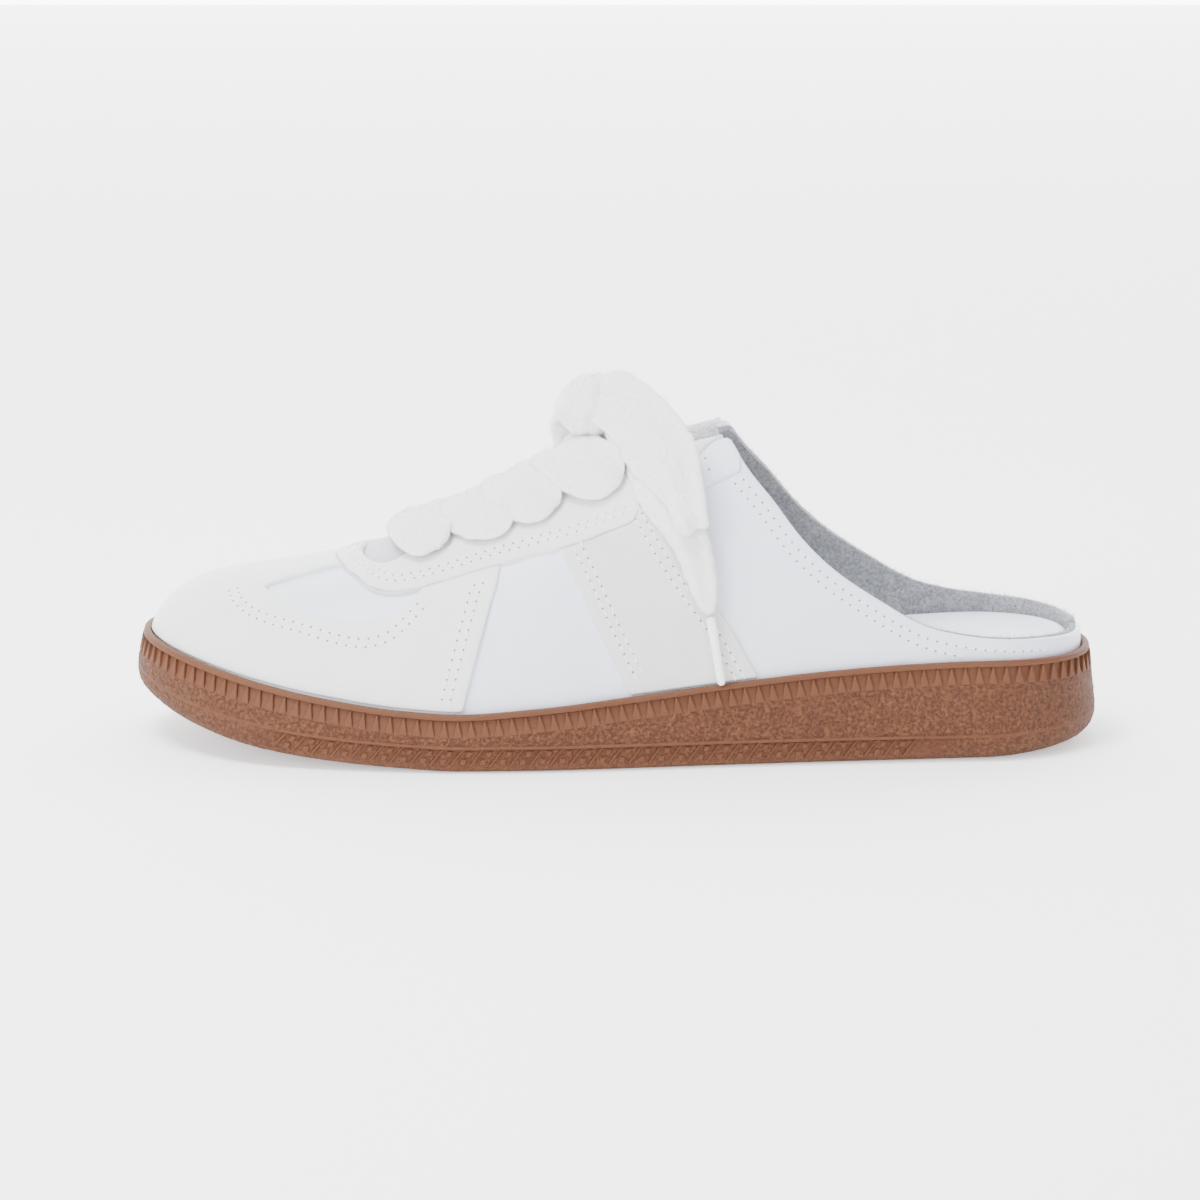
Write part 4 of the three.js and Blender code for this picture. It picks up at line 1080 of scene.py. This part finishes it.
def creases(kt):
    """Soft troughs where the vamp bends, and the slight unevenness of lasted leather."""
    p = last_point(kt[:, 0], kt[:, 1], 0)
    flank = np.sin(np.pi * kt[:, 1]) ** 2
    fall = np.zeros(len(kt))
    for x, lean, wide, deep in ((-33.0, 0.25, 3.2, 0.30), (-25.0, 0.32, 2.6, 0.22), (33.5, -0.30, 2.2, 0.40), (40.5, -0.34, 2.0, 0.28)):
        fall += deep * np.exp(-(((p[:, 0] - x + lean * (p[:, 2] - 35)) / wide) ** 2)) * np.exp(-(((p[:, 2] - 36) / 13) ** 2))
    uneven = np.array([noise.noise(Vector(q) / 19) + 0.5 * noise.noise(Vector(q) / 8) for q in p])
    return 0.22 * uneven - fall


upper = on_last("upper_leather", upper_low, [upper_hole, *eyelets], -leather_thickness, 0.0, 1.7, 0.9, 0.4, creases)
s = Shade("smooth_leather")
pores = s.cells(0.75)
broad = s.noise(22, 2)
fine = s.noise(0.5, 3)
leather = s.finish(
    s.mix(broad, colour_of("dcdfee"), colour_of("e8eaf8")), broad * 0.10 + 0.36, pores * 0.5 + fine * 0.5, 0.06,
    Coat_Weight=0.08, Coat_Roughness=0.35,
)
paint(upper, leather, "white_leather", "upper")

# Lining: light grey brushed fleece glued inside the quarters, standing a little above the leather all round
# the collar, with a loose pile.
lining_low = ring_of(low_line(-1, -6.0), low_line(1, -6.0))


def lining_edge(side):
    return border(lambda p: in_throat(p, -0.4) | above_collar(p, 0.5 if side < 0 else 1.8), side)


lining_hole = ring_of(lining_edge(-1), lining_edge(1))


def uneven_pile(kt):
    p = last_point(kt[:, 0], kt[:, 1], -3)
    return np.array([0.25 * noise.noise(Vector(q) / 3.1) + 0.2 * noise.noise(Vector(q) / 1.3) for q in p])


lining = on_last("fleece_lining", lining_low, [lining_hole], -3.1, -leather_thickness - 0.02, 1.6, 0.8, 0.5, uneven_pile)

s = Shade("brushed_fleece")
tufts = s.noise(0.9, 5, 0.75)
patch = s.noise(5, 3)
fleece = s.finish(
    s.mix(tufts.above(0.3, 0.7) * 0.7 + patch * 0.3, colour_of("5c5f65"), colour_of("b6b8be")), 0.95, tufts, 0.5,
    Sheen_Weight=0.4, Sheen_Roughness=0.6,
)
paint(lining, fleece, "grey_fleece")


def pile_tree():
    """Geometry Nodes: short fibres that stand out of the faces marked as napped, leaning this way and that."""
    tree = Tree("pile")
    fibre = tree.given("Fibre", "Object")
    density = tree.given("Density", "Float", 1e6)
    length = tree.given("Length", "Float", 1.0)
    lean = tree.given("Lean", "Float", 0.6)
    material = tree.given("Material", "Material")
    seed = tree.given("Seed", "Int", 7)
    napped = tree.add("GeometryNodeInputNamedAttribute", {"data_type": "FLOAT"}, Name="napped")
    spots = tree.add("GeometryNodeDistributePointsOnFaces", Mesh=tree.start.outputs[0], Selection=napped.outputs[0])
    tree.group.links.new(density, spots.inputs["Density"])
    tree.group.links.new(seed, spots.inputs["Seed"])
    back = tree.add("ShaderNodeMath", {"operation": "MULTIPLY"})
    tree.group.links.new(lean, back.inputs[0])
    back.inputs[1].default_value = -1
    tilt = tree.add("FunctionNodeRandomValue", {"data_type": "FLOAT_VECTOR"})
    tree.group.links.new(back.outputs[0], tilt.inputs[0])
    tree.group.links.new(lean, tilt.inputs[1])
    turned = tree.add("FunctionNodeRotateRotation", {"rotation_space": "LOCAL"}, Rotation=spots.outputs["Rotation"])
    tree.group.links.new(tilt.outputs[0], turned.inputs[1])
    grown = tree.add("FunctionNodeRandomValue", {"data_type": "FLOAT"})
    grown.inputs[2].default_value = 0.5
    grown.inputs[3].default_value = 1.3
    reach = tree.add("ShaderNodeMath", {"operation": "MULTIPLY"})
    tree.group.links.new(grown.outputs[1], reach.inputs[0])
    tree.group.links.new(length, reach.inputs[1])
    size = tree.add("ShaderNodeCombineXYZ", X=1.0, Y=1.0, Z=reach.outputs[0])
    shape = tree.add("GeometryNodeObjectInfo", Object=fibre)
    copies = tree.add(
        "GeometryNodeInstanceOnPoints",
        Points=spots.outputs[0],
        Instance=shape.outputs["Geometry"],
        Rotation=turned.outputs[0],
        Scale=size.outputs[0],
    )
    return tree.finish(copies.outputs[0], material)


def pile_on(name, pieces, napped, per_mm2, length, lean):
    """Fibres of a length in millimetres on the faces of pieces for which napped holds."""
    tree = bpy.data.node_groups.get("pile") or pile_tree()
    fibre = add_piece("fibre", [(0.06, 0, -0.1), (-0.03, 0.05, -0.1), (-0.03, -0.05, -0.1), (0.05, 0.04, 1.0)],
                      [(0, 2, 1), (0, 1, 3), (1, 2, 3), (2, 0, 3)])
    made = []
    for piece in pieces:
        base = bpy.data.objects.new("base", piece.data.copy())
        bpy.context.scene.collection.objects.link(base)
        marks = base.data.attributes.new("napped", "FLOAT", "FACE")
        marks.data.foreach_set("value", np.array([napped(f) for f in base.data.polygons], np.float32))
        set_up = base.modifiers.new("pile", "NODES")
        set_up.node_group = tree
        give = {"Fibre": fibre, "Density": per_mm2 / mm ** 2, "Length": length, "Lean": lean, "Seed": 7}
        for socket in tree.interface.items_tree:
            if socket.item_type == "SOCKET" and socket.in_out == "INPUT" and socket.name in give:
                set_up[socket.identifier] = give[socket.name]
        made.append(base)
    pile = join_evaluated(name, made)
    bpy.data.objects.remove(fibre)
    return pile


lining_faces = [f.index for f in lining.data.polygons if len(f.vertices) == 3]
glued_faces = set(lining_faces[:len(lining_faces) // 2])
fleece_pile = pile_on("fleece_pile", [lining], lambda f: float(f.index not in glued_faces), 1.3, 1.6, 0.8)
paint(fleece_pile, fleece, "grey_fleece")

# Toe cap: soft nubuck bumper round the toe with a strip up its middle; on either side of the strip a panel
# is cut out of it, so that the smooth vamp shows, with two rows of stitches round it.
overlay_low = 0.02
overlay_high = 1.25
rear_rows = [(0.400, 1.000), (0.382, 0.580), (0.372, 0.474), (0.360, 0.351), (0.344, 0.175), (0.330, 0.000)]
front_rows = [(0.418, 0.760), (0.448, 0.600), (0.463, 0.520), (0.484, 0.393), (0.514, 0.217), (0.546, 0.030)]
back_rows = [(0.508, 0.890), (0.544, 0.714), (0.574, 0.575), (0.610, 0.430), (0.646, 0.250), (0.690, 0.030)]


def side_line(rows):
    """x of a line seen from the side, for any height."""
    p = np.array(rows, float) * (sole_length, instep_height) - (sole_length / 2, 0)
    p = smooth_line(p, 8)
    p = p[np.argsort(p[:, 1])]
    return lambda z: np.interp(z, p[:, 1], p[:, 0])


def crossing(x_of_z, side, top):
    """A side-view line laid on one side of the last, from the lip up to the border called top."""
    turns = np.linspace(0.0, 0.47, 160)
    turns = turns if side < 0 else 1 - turns
    ks = np.linspace(0.2, 0.8, 201)
    p = last_point(ks[None], turns[:, None], 0)
    i = (p[..., 0] > x_of_z(p[..., 2])).argmax(1)
    low, high = ks[i - 1], ks[i]
    for _ in range(14):
        half = (low + high) / 2
        q = last_point(half, turns, 0)
        past = q[..., 0] > x_of_z(q[..., 2])
        low, high = np.where(past, low, half), np.where(past, half, high)
    k = (low + high) / 2
    p = last_point(k, turns, 0)
    return np.stack([k, turns], 1)[above_lip(p) & ~top(p)]


def plan_loop(rows, side):
    """A closed outline in plan, in shares of length and of ball width from the middle line, laid on the last."""
    p = np.array(rows, float)
    x = (p[:, 0] - 0.5) * sole_length
    line = np.stack([x, middle_at(x) + side * p[:, 1] * ball_width], 1)
    line = smooth_line(np.concatenate([line, line[:1]]), 14)[:-1]
    return laid(line, (0, 1), side)


def laid(targets, axes, side):
    """k and turn of the points on one side of the last with the given two coordinates."""
    targets = np.asarray(targets, float)
    ks, turns = np.meshgrid(np.linspace(0.03, 0.97, 95), np.linspace(0.01, 0.495, 60), indexing="ij")
    ks, turns = ks.ravel(), turns.ravel()
    p = last_point(ks, turns if side < 0 else 1 - turns, 0)[:, axes]
    nearest = np.array([((p - t) ** 2).sum(1).argmin() for t in targets])
    k, turn = ks[nearest], turns[nearest]
    for _ in range(12):
        at = lambda kk, tt: last_point(kk, tt if side < 0 else 1 - tt, 0)[:, axes]
        here = at(k, turn)
        dk, dt = (at(k + 1e-4, turn) - here) / 1e-4, (at(k, turn + 1e-4) - here) / 1e-4
        miss = targets - here
        det = dk[:, 0] * dt[:, 1] - dk[:, 1] * dt[:, 0]
        det = np.where(np.abs(det) < 1e-6, 1e-6, det)
        k = np.clip(k + np.clip((miss[:, 0] * dt[:, 1] - miss[:, 1] * dt[:, 0]) / det, -0.02, 0.02), 0.005, 0.995)
        turn = np.clip(turn + np.clip((dk[:, 0] * miss[:, 1] - dk[:, 1] * miss[:, 0]) / det, -0.02, 0.02), 0.002, 0.4995)
    return np.stack([k, turn if side < 0 else 1 - turn], 1)


def near_eyestay(p):
    return in_eyestay(p, 0.15)


def cap_side(side):
    """Lip line, rear edge and throat-facing edge of the toe cap on one side."""
    rear = crossing(side_line(rear_rows), side, near_eyestay)
    lip_part = low_line(side)
    lip_part = lip_part[lip_part[:, 0] < rear[0, 0]]
    facing = border(near_eyestay, side)
    facing = facing[facing[:, 0] < rear[-1, 0]]
    return lip_part, rear, facing


lip_a, rear_a, facing_a = cap_side(-1)
lip_b, rear_b, facing_b = cap_side(1)
cap_border = np.concatenate([lip_a, rear_a, facing_a[::-1], facing_b, rear_b[::-1], lip_b[::-1]])
window_rows = [
    (0.139, 0.180), (0.152, 0.154), (0.226, 0.106), (0.243, 0.190), (0.262, 0.238), (0.290, 0.258), (0.322, 0.258),
    (0.310, 0.280), (0.280, 0.330), (0.235, 0.337), (0.187, 0.300), (0.155, 0.236),
]
windows = [plan_loop(window_rows, side) for side in (-1, 1)]


def uneven(kt, height=0.10, size=11.0, seed=0.0):
    p = last_point(kt[:, 0], kt[:, 1], 0)
    return np.array([
        height * (noise.noise(Vector(q) / size + Vector((seed, 0, 0))) + 0.5 * noise.noise(Vector(q) / size * 2.3)) for q in p
    ])


toe = on_last("toe_cap_nubuck", cap_border, windows, overlay_low, overlay_high, 1.7, 0.9, 0.45, lambda kt: uneven(kt) + creases(kt))

s = Shade("white_nubuck")
nap = s.noise(0.35, 4, 0.7)
patch = s.noise(9, 3)
nubuck = s.finish(
    s.mix(patch, colour_of("e0e2e4"), colour_of("ebecef")), nap * 0.15 + 0.62, nap, 0.05,
    Sheen_Weight=0.15, Sheen_Roughness=0.5,
)
paint(toe, nubuck, "pale_suede", "toe_cap")

# Lace facing: a soft suede band round the throat that carries the eyelets, raw edged and a little wavy.


def facing_edge(side):
    line = border(in_eyestay, side)
    return line


def in_opening(p):
    return in_throat(p) | above_collar(p)


def facing_inner(side):
    return border(in_opening, side)


def cut_after(line, k_from, k_to):
    return line[(line[:, 0] >= k_from) & (line[:, 0] <= k_to)]


def k_of_x(x):
    return math.acos(1 - 2 * (x / sole_length + 0.5)) / math.pi


facing_end = k_of_x(0.6135 * sole_length - sole_length / 2)
outer_a, outer_b = (cut_after(facing_edge(side), 0, facing_end) for side in (-1, 1))
inner_a, inner_b = (cut_after(facing_inner(side), 0, facing_end) for side in (-1, 1))


def wavy(line, side):
    """The raw edge of soft suede: a cut that wanders a little."""
    flat = to_chart(line)
    run = np.concatenate([[0], np.cumsum(np.linalg.norm(np.diff(flat, axis=0), axis=1))])
    wave = np.array([0.38 * noise.noise(Vector((r / 5.5, side * 7.0, 0))) + 0.16 * noise.noise(Vector((r / 1.9, 3.0, side))) for r in run])
    wave *= np.clip(run / 3, 0, 1) * np.clip((run[-1] - run) / 3, 0, 1)
    along = unit(np.gradient(flat, axis=0))
    return from_chart(flat + wave[:, None] * np.stack([-along[:, 1], along[:, 0]], 1))


facing_border = np.concatenate([wavy(outer_a, -1), inner_a[::-1], inner_b, wavy(outer_b, 1)[::-1]])
facing = on_last("lace_facing_suede", facing_border, eyelets, overlay_low, 1.5, 1.5, 0.8, 0.5, lambda kt: uneven(kt, 0.16, 7.0, 4.0))


def suede_of(name, dark, light):
    """Raw suede: a loose nap in two close greys."""
    s = Shade(name)
    nap = s.noise(0.45, 5, 0.75)
    patch = s.noise(8, 4)
    return s.finish(
        s.mix(patch * 0.7 + nap * 0.3, colour_of(dark), colour_of(light)), nap * 0.1 + 0.82,
        nap * 0.7 + patch * 0.3, 0.10, Sheen_Weight=0.3, Sheen_Roughness=0.5,
    )


paint(facing, suede_of("raw_suede", "dcdddf", "ececee"), "pale_suede", "eyestay")

# Side panels: a slanted suede strip on each quarter, from the lace facing down into the sole.


def strip_side(side):
    front = crossing(side_line(front_rows), side, near_eyestay)
    back = crossing(side_line(back_rows), side, near_eyestay)
    lip_part = cut_after(low_line(side), front[0, 0], back[0, 0])
    top = cut_after(border(near_eyestay, side), front[-1, 0], back[-1, 0])
    return front, back, np.concatenate([front[::-1], lip_part, back, top[::-1]])


strips = {}
for side, name in ((-1, "side_strip_outer"), (1, "side_strip_inner")):
    front, back, strip_border = strip_side(side)
    strips[side] = on_last(name, strip_border, [], overlay_low, overlay_high, 1.5, 0.8, 0.45, lambda kt: uneven(kt, 0.12, 9.0, 2.0))

grey_suede = suede_of("grey_suede", "cdcfce", "dfe0df")
paint(strips[-1], grey_suede, "pale_suede", "side_panel_outer")
paint(strips[1], grey_suede, "pale_suede", "side_panel_inner")

# Tab: a small piece of the same leather over the top corner of each quarter, behind the lace facing.
def tab_low(p):
    return p[..., 2] > np.interp(p[..., 0], (8.0, 24.6, 29.7, 34.9), (70.5, 74.2, 76.4, 78.8))


tabs = []
for side, name in ((-1, "corner_tab_outer"), (1, "corner_tab_inner")):
    low_border = cut_after(border(tab_low, side), k_of_x(9.5), k_of_x(35.0))
    top_border = border(lambda p: near_eyestay(p) | in_throat(p, 0.5) | above_collar(p, -0.5), side)
    top_border = cut_after(top_border, k_of_x(9.5), k_of_x(35.0))
    tab_border = np.concatenate([low_border, top_border[::-1]])
    tabs.append(on_last(name, tab_border, [], overlay_low, 0.95, 1.5, 0.8, 0.35, creases))
    paint(tabs[-1], leather, "white_leather")

# Seams: white thread in double rows along every panel edge, with small dark grey dots between the stitches as painted
# shade in the needle's holes.
# The rows follow the panels that they hold, on both sides of the shoe.
stitch_pitch = 2.65
row_gap = 2.4
stitch = small_piece("stitch", [
    (-0.30, [(-0.90, 0.0), (-0.70, 0.17), (0.70, 0.17), (0.90, 0.0), (0.70, -0.17), (-0.70, -0.17)]),
    (0.10, [(-0.97, 0.0), (-0.75, 0.22), (0.75, 0.22), (0.97, 0.0), (0.75, -0.22), (-0.75, -0.22)]),
    (0.26, [(-0.60, 0.0), (-0.50, 0.10), (0.50, 0.10), (0.60, 0.0), (0.50, -0.10), (-0.50, -0.10)]),
])
# A small dark grey prism stands for the shade in each needle's hole: painted shade, not a real hole.
needle_hole = small_piece("needle_hole", [
    (z, [(r * math.cos(a), r * math.sin(a)) for a in np.arange(8) * math.pi / 4]) for z, r in ((-0.3, 0.26), (0.12, 0.27))
])
window_row = np.array([
    (-104.2, 14.7), (-101.5, 22.1), (-94.3, 28.0), (-80.4, 33.2), (-69.5, 35.9), (-62.7, 35.9), (-58.1, 34.3),
    (-52.7, 31.2),
])
tab_row = np.array([(22.0, 84.0), (23.3, 79.8), (24.9, 75.6)])
seam_rows, hole_shade_rows = [], []


def sew(line, side, moved, out, shift):
    """Adds one row of stitches to the seams: a line of k and turn moved over the panel, towards the ridge or,
    for a line that runs up the side, towards the toe."""
    flat = evened(to_chart(line), 0.7, closed=False)
    along = unit(np.gradient(flat, axis=0))
    sideways = -side * np.stack([-along[:, 1], along[:, 0]], 1)
    here, there = from_chart(flat), from_chart(flat + sideways)
    stretch = np.linalg.norm(last_point(*there.T, out) - last_point(*here.T, out), axis=1)
    kt = from_chart(flat + sideways * (moved / np.maximum(stretch, 0.4))[:, None])
    normal = last_normal(kt[:, 0], kt[:, 1])
    points = last_point(kt[:, 0], kt[:, 1], out) + normal * shift(kt)[:, None]
    free = above_lip(points, 1.0)
    points, normal = points[free], normal[free]
    count = round(line_length(points) / stitch_pitch)
    seam_rows.append((points, normal, False, count))
    # Between each two stitches, a spot for a dark dot of painted shade in the needle's hole.
    run = np.concatenate([[0], np.cumsum(np.linalg.norm(np.diff(points, axis=0), axis=1))])
    half = run[-1] / (count - 1) / 2
    inner = (run >= half) & (run <= run[-1] - half)
    hole_shade_rows.append((points[inner], normal[inner], False, count - 1))


for side in (-1, 1):
    for moved in (3.3, 3.3 + row_gap - 0.3):
        sew(cut_after(facing_edge(side), 0, k_of_x(4.6)), side, moved, 1.5, lambda kt: uneven(kt, 0.16, 7.0, 4.0))
    rear = crossing(side_line(rear_rows), side, near_eyestay)[3:-6]
    for moved in (4.0, 4.0 + row_gap):
        sew(rear, side, moved, overlay_high, lambda kt: uneven(kt) + creases(kt))
    front, back, _ = strip_side(side)
    for moved in (3.6, 3.6 + row_gap):
        sew(front[3:-6], side, -moved, overlay_high, lambda kt: uneven(kt, 0.12, 9.0, 2.0))
        sew(back[3:-6], side, moved, overlay_high, lambda kt: uneven(kt, 0.12, 9.0, 2.0))
    collar = cut_after(border(above_collar, side), k_of_x(31.0), k_of_x(119.0))
    around_window = smooth_line(window_row, 4)
    around_window[:, 1] = middle_at(around_window[:, 0]) + side * around_window[:, 1]
    around_window = laid(around_window, (0, 1), side)
    for moved in (-3.0, -3.0 - row_gap):
        sew(collar, side, moved, 0.0, creases)
    for moved in (-row_gap / 2, row_gap / 2):
        sew(laid(smooth_line(tab_row, 4), (0, 2), side), side, moved, 0.95, creases)
    for moved in (0.0, -row_gap):
        sew(around_window, side, moved, overlay_high, lambda kt: uneven(kt) + creases(kt))

stitches = set_along("seam_stitches", seam_rows, stitch, {"Size": (1, 1, 1), "Wander": 0.10, "Seed": 3})
# Dark dots between the stitches: painted shade of the needle holes.
holes = set_along("needle_holes", hole_shade_rows, needle_hole, {"Size": (1, 1, 1), "Wander": 0.0, "Seed": 3})
for mould in (stitch, needle_hole):
    bpy.data.objects.remove(mould)
s = Shade("white_thread")
twist = s.noise(0.25, 2)
paint(stitches, s.finish(s.mix(twist, colour_of("f2f2f4"), colour_of("ffffff")), 0.6, twist, 0.04), "white_leather")
# Painted shade of the needle holes: dark greys that vary a little.
s = Shade("needle_hole")
hole_shade_tone = s.noise(0.3, 2)
paint(holes, s.finish(s.mix(hole_shade_tone, colour_of("5c5c64"), colour_of("74747c")), 0.9), "white_leather")

# Tongue: padded, smooth leather outside, under the laces. Its leather colour is its own lavender grey, darkened with
# painted shade of the throat.


def tongue_edge(rows):
    return plan_curve(rows, 21.0)


tongue_across = tongue_edge([(0.207, 0), (0.213, 0.7), (0.235, 1.13), (0.265, 1.20), (0.300, 1.12), (0.350, 1), (0.570, 1), (0.596, 0.85), (0.603, 0.5), (0.604, 0.02)])


def in_tongue(p):
    return np.abs(p[..., 1] - middle_at(p[..., 0])) < tongue_across(p[..., 0])


def swelling(kt):
    """The padding swells up in the throat, between the two sides of the lace facing."""
    p = last_point(kt[:, 0], kt[:, 1], -3.1)
    beside = np.abs(p[:, 1] - middle_at(p[:, 0])) - throat_across(p[:, 0])
    in_gap = np.clip((1.5 - beside) / 4.0, 0, 1) ** 0.8
    in_gap *= np.clip((p[:, 0] + 71.0) / 3.0, 0, 1)
    return uneven(kt, 0.15, 12.0, 6.0) + 3.9 * in_gap * np.clip((20.0 - p[:, 0]) / 30.0, 0, 1)


tongue_a, tongue_b = border(in_tongue, -1, out=-3.1), border(in_tongue, 1, out=-3.1)
tongue = on_last(
    "tongue_padded", np.concatenate([tongue_a, tongue_b[::-1]]), [], -7.1, -3.15, 1.6, 0.9, 1.2,
    swelling,
)
s = Shade("tongue_leather_painted_shade")
broad = s.noise(8, 3)
tufts = s.noise(0.9, 5, 0.75)
along_shoe = s.node("ShaderNodeSeparateXYZ", None, {"Vector": s.place})
top_edge = along_shoe.above(0.015, 0.018)
# Lavender-grey leather, darker than its own light grey: painted shade of the throat between the facings.
leather_and_painted_shade = s.mix(broad, colour_of("b6b7c1"), colour_of("c6c7d0"))
fleece_part = s.mix(tufts.above(0.3, 0.7), colour_of("6f7278"), colour_of("b4b6bb"))
tongue_finish_with_painted_shade = s.finish(s.mix(top_edge, leather_and_painted_shade, fleece_part), 0.7, tufts, 0.06)
paint(tongue, tongue_finish_with_painted_shade, "grey_fleece", "tongue")

# Footbed: thin foam covered in smooth cloth, lying in the cup between the quarters.
footbed_thickness = 6.4
bed_k, bed_side = around_sole(240)
bed_at = eased_at(bed_k)
bed_out = -lip_inset(bed_at) - lip_thickness - 2.8 - 1.2
bed_rings = []
for out, rise in ((0.0, 0.0), (0.0, footbed_thickness - 1.4), (-0.25, footbed_thickness - 0.6), (-0.9, footbed_thickness - 0.1), (-1.8, footbed_thickness)):
    xy = outline_offset(bed_k, bed_side, bed_out + out)
    bed_rings.append(np.concatenate([xy, (foot_height(bed_at) + rise)[:, None]], 1))
rim = bed_rings[-1]
centre_y = middle_at(rim[:, 0])
for share in np.linspace(0.1, 0.9, 9):
    ring = rim.copy()
    ring[:, 1] = rim[:, 1] * (1 - share) + centre_y * share
    ring[:, 2] -= 1.3 * (1 - (1 - share) ** 2)
    bed_rings.append(ring)
around = len(bed_k)
faces = tube_faces(len(bed_rings), around)[:-2] + strip_cap(0, around, True) + strip_cap((len(bed_rings) - 1) * around, around, False)
footbed = face_out(add_piece("footbed", np.array(bed_rings).reshape(-1, 3), faces))
footbed.data.set_sharp_from_angle(angle=math.radians(60))

s = Shade("footbed_cloth")
weave = s.noise(0.4, 3)
broad = s.noise(18, 2)
bed_cloth = s.finish(s.mix(broad, colour_of("dcdeea"), colour_of("e6e8f4")), weave * 0.1 + 0.75, weave, 0.05)
paint(footbed, bed_cloth, "insole_cloth", "insole")

# Lace over the throat: four soft bars of the velvet ribbon from eyelet to eyelet, each lapping the next, with
# round slack ends where the ribbon turns down into its eyelet.
bar_width = 17.0
bar_thickness = 3.0
bars = []
for number, (at, lean, turn_end, wide, lapped, _) in enumerate(lace_rows):
    u = np.sin(np.linspace(-np.pi / 2, np.pi / 2, 81))
    turn = 0.5 + u * (0.5 - turn_end)
    places = at + lean * np.abs(u) ** 2.2
    k = np.arccos(1 - 2 * places) / np.pi
    slack = (0.7 + lapped) * (1 - 0.72 * u ** 2)
    out = 1.5 + bar_thickness / 2 + slack
    centre = last_point(k, turn, out)
    along = unit(last_point(k + 1e-3, turn, out) - last_point(k - 1e-3, turn, out))
    over = unit(np.gradient(centre, axis=0))
    through = unit(np.cross(along, over))
    along = unit(along - over * (along * over).sum(1, keepdims=True))
    tip = np.clip((np.abs(u) - 0.66) / 0.34, 0, 1)
    fill = np.sqrt(np.clip(1 - tip ** 2.4, 0.004, 1))[:, None]
    thin = np.sqrt(np.clip(1 - tip ** 4, 0.02, 1))[:, None]
    rings = ribbon_rings(centre, along * bar_width * wide / 2 * fill, through * bar_thickness / 2 * thin * (1 - 0.25 * u ** 2)[:, None], 0.5 * np.cos(3 * u + number), 40)
    points = plush(rings.reshape(-1, 3), 4.2, 0.5, 20 + number)
    bars.append(face_out(add_piece("lace_bar_%d" % (number + 1), points, tube_faces(len(rings), 40))))
for bar in bars:
    paint(bar, velvet, "white_ribbon", "lace_bars")

# Under each end of a bar the ribbon is gathered and goes down through its eyelet.
gathers = []
for row in lace_rows:
    for side in (-1, 1):
        k, turn = eyelet_spot(row, side)
        out = np.linspace(2.9, -1.2, 9)
        centre = last_point(k, turn, out)
        down = unit(centre[-1] - centre[0])
        across = unit(np.cross(down, (0.0, 1.0, 0.0)))
        around = 2 * np.pi * np.arange(24) / 24
        radius = (1.75 + 0.5 * (out > 1.6))[:, None] * (1 + 0.09 * np.cos(5 * around))[None]
        spokes = np.cos(around)[:, None] * across + np.sin(around)[:, None] * np.cross(down, across)
        rings = centre[:, None] + radius[..., None] * spokes[None]
        gathers.append(face_out(add_piece("gather", rings.reshape(-1, 3), tube_faces(9, 24))))
gathered = join_evaluated("lace_through_eyelets", gathers)
paint(gathered, velvet, "white_ribbon")
ribbon_nap = pile_on("ribbon_nap", [near_end, near_loop, knot, far_loop, *bars], lambda f: 1.0, 2.0, 1.0, 0.9)
paint(ribbon_nap, velvet, "white_ribbon")

# Floor and light: white paper under and behind, one broad light above and one in front.
bpy.ops.mesh.primitive_plane_add(size=6, location=(0, 0, -0.0002))
floor = bpy.context.active_object
floor.name = "floor"
s = Shade("white_paper")
paper = s.noise(300, 2)
floor.data.materials.append(s.finish(s.mix(paper, colour_of("fcfcfc"), colour_of("ffffff")), 0.9, Emission_Color=(1, 1, 1, 1), Emission_Strength=0.62))
bpy.ops.mesh.primitive_plane_add(size=6, location=(0, 2.2, 0), rotation=(math.pi / 2, 0, 0))
backdrop = bpy.context.active_object
backdrop.name = "backdrop"
s = Shade("lit_paper")
paper = s.noise(300, 2)
lit = s.mix(paper, colour_of("fcfcfc"), colour_of("ffffff"))
backdrop.data.materials.append(s.finish(lit, 0.9, Emission_Color=(1, 1, 1, 1), Emission_Strength=6.0))
world = bpy.data.worlds.new("studio")
world.use_nodes = True
world.node_tree.nodes["Background"].inputs[0].default_value = (1, 1, 1, 1)
world.node_tree.nodes["Background"].inputs[1].default_value = 1.5
bpy.context.scene.world = world
for name, place, size, power in (
    ("top", (-0.35, -0.25, 1.1), 0.5, 20.0),
    ("front", (-0.8, -1.0, 0.55), 0.4, 12.0),
):
    lamp = bpy.data.lights.new(name, "AREA")
    lamp.size = size
    lamp.energy = power
    light = bpy.data.objects.new(name, lamp)
    light.location = place
    light.rotation_euler = (Vector((0, 0, 0.03)) - Vector(place)).to_track_quat("-Z", "Y").to_euler()
    bpy.context.scene.collection.objects.link(light)
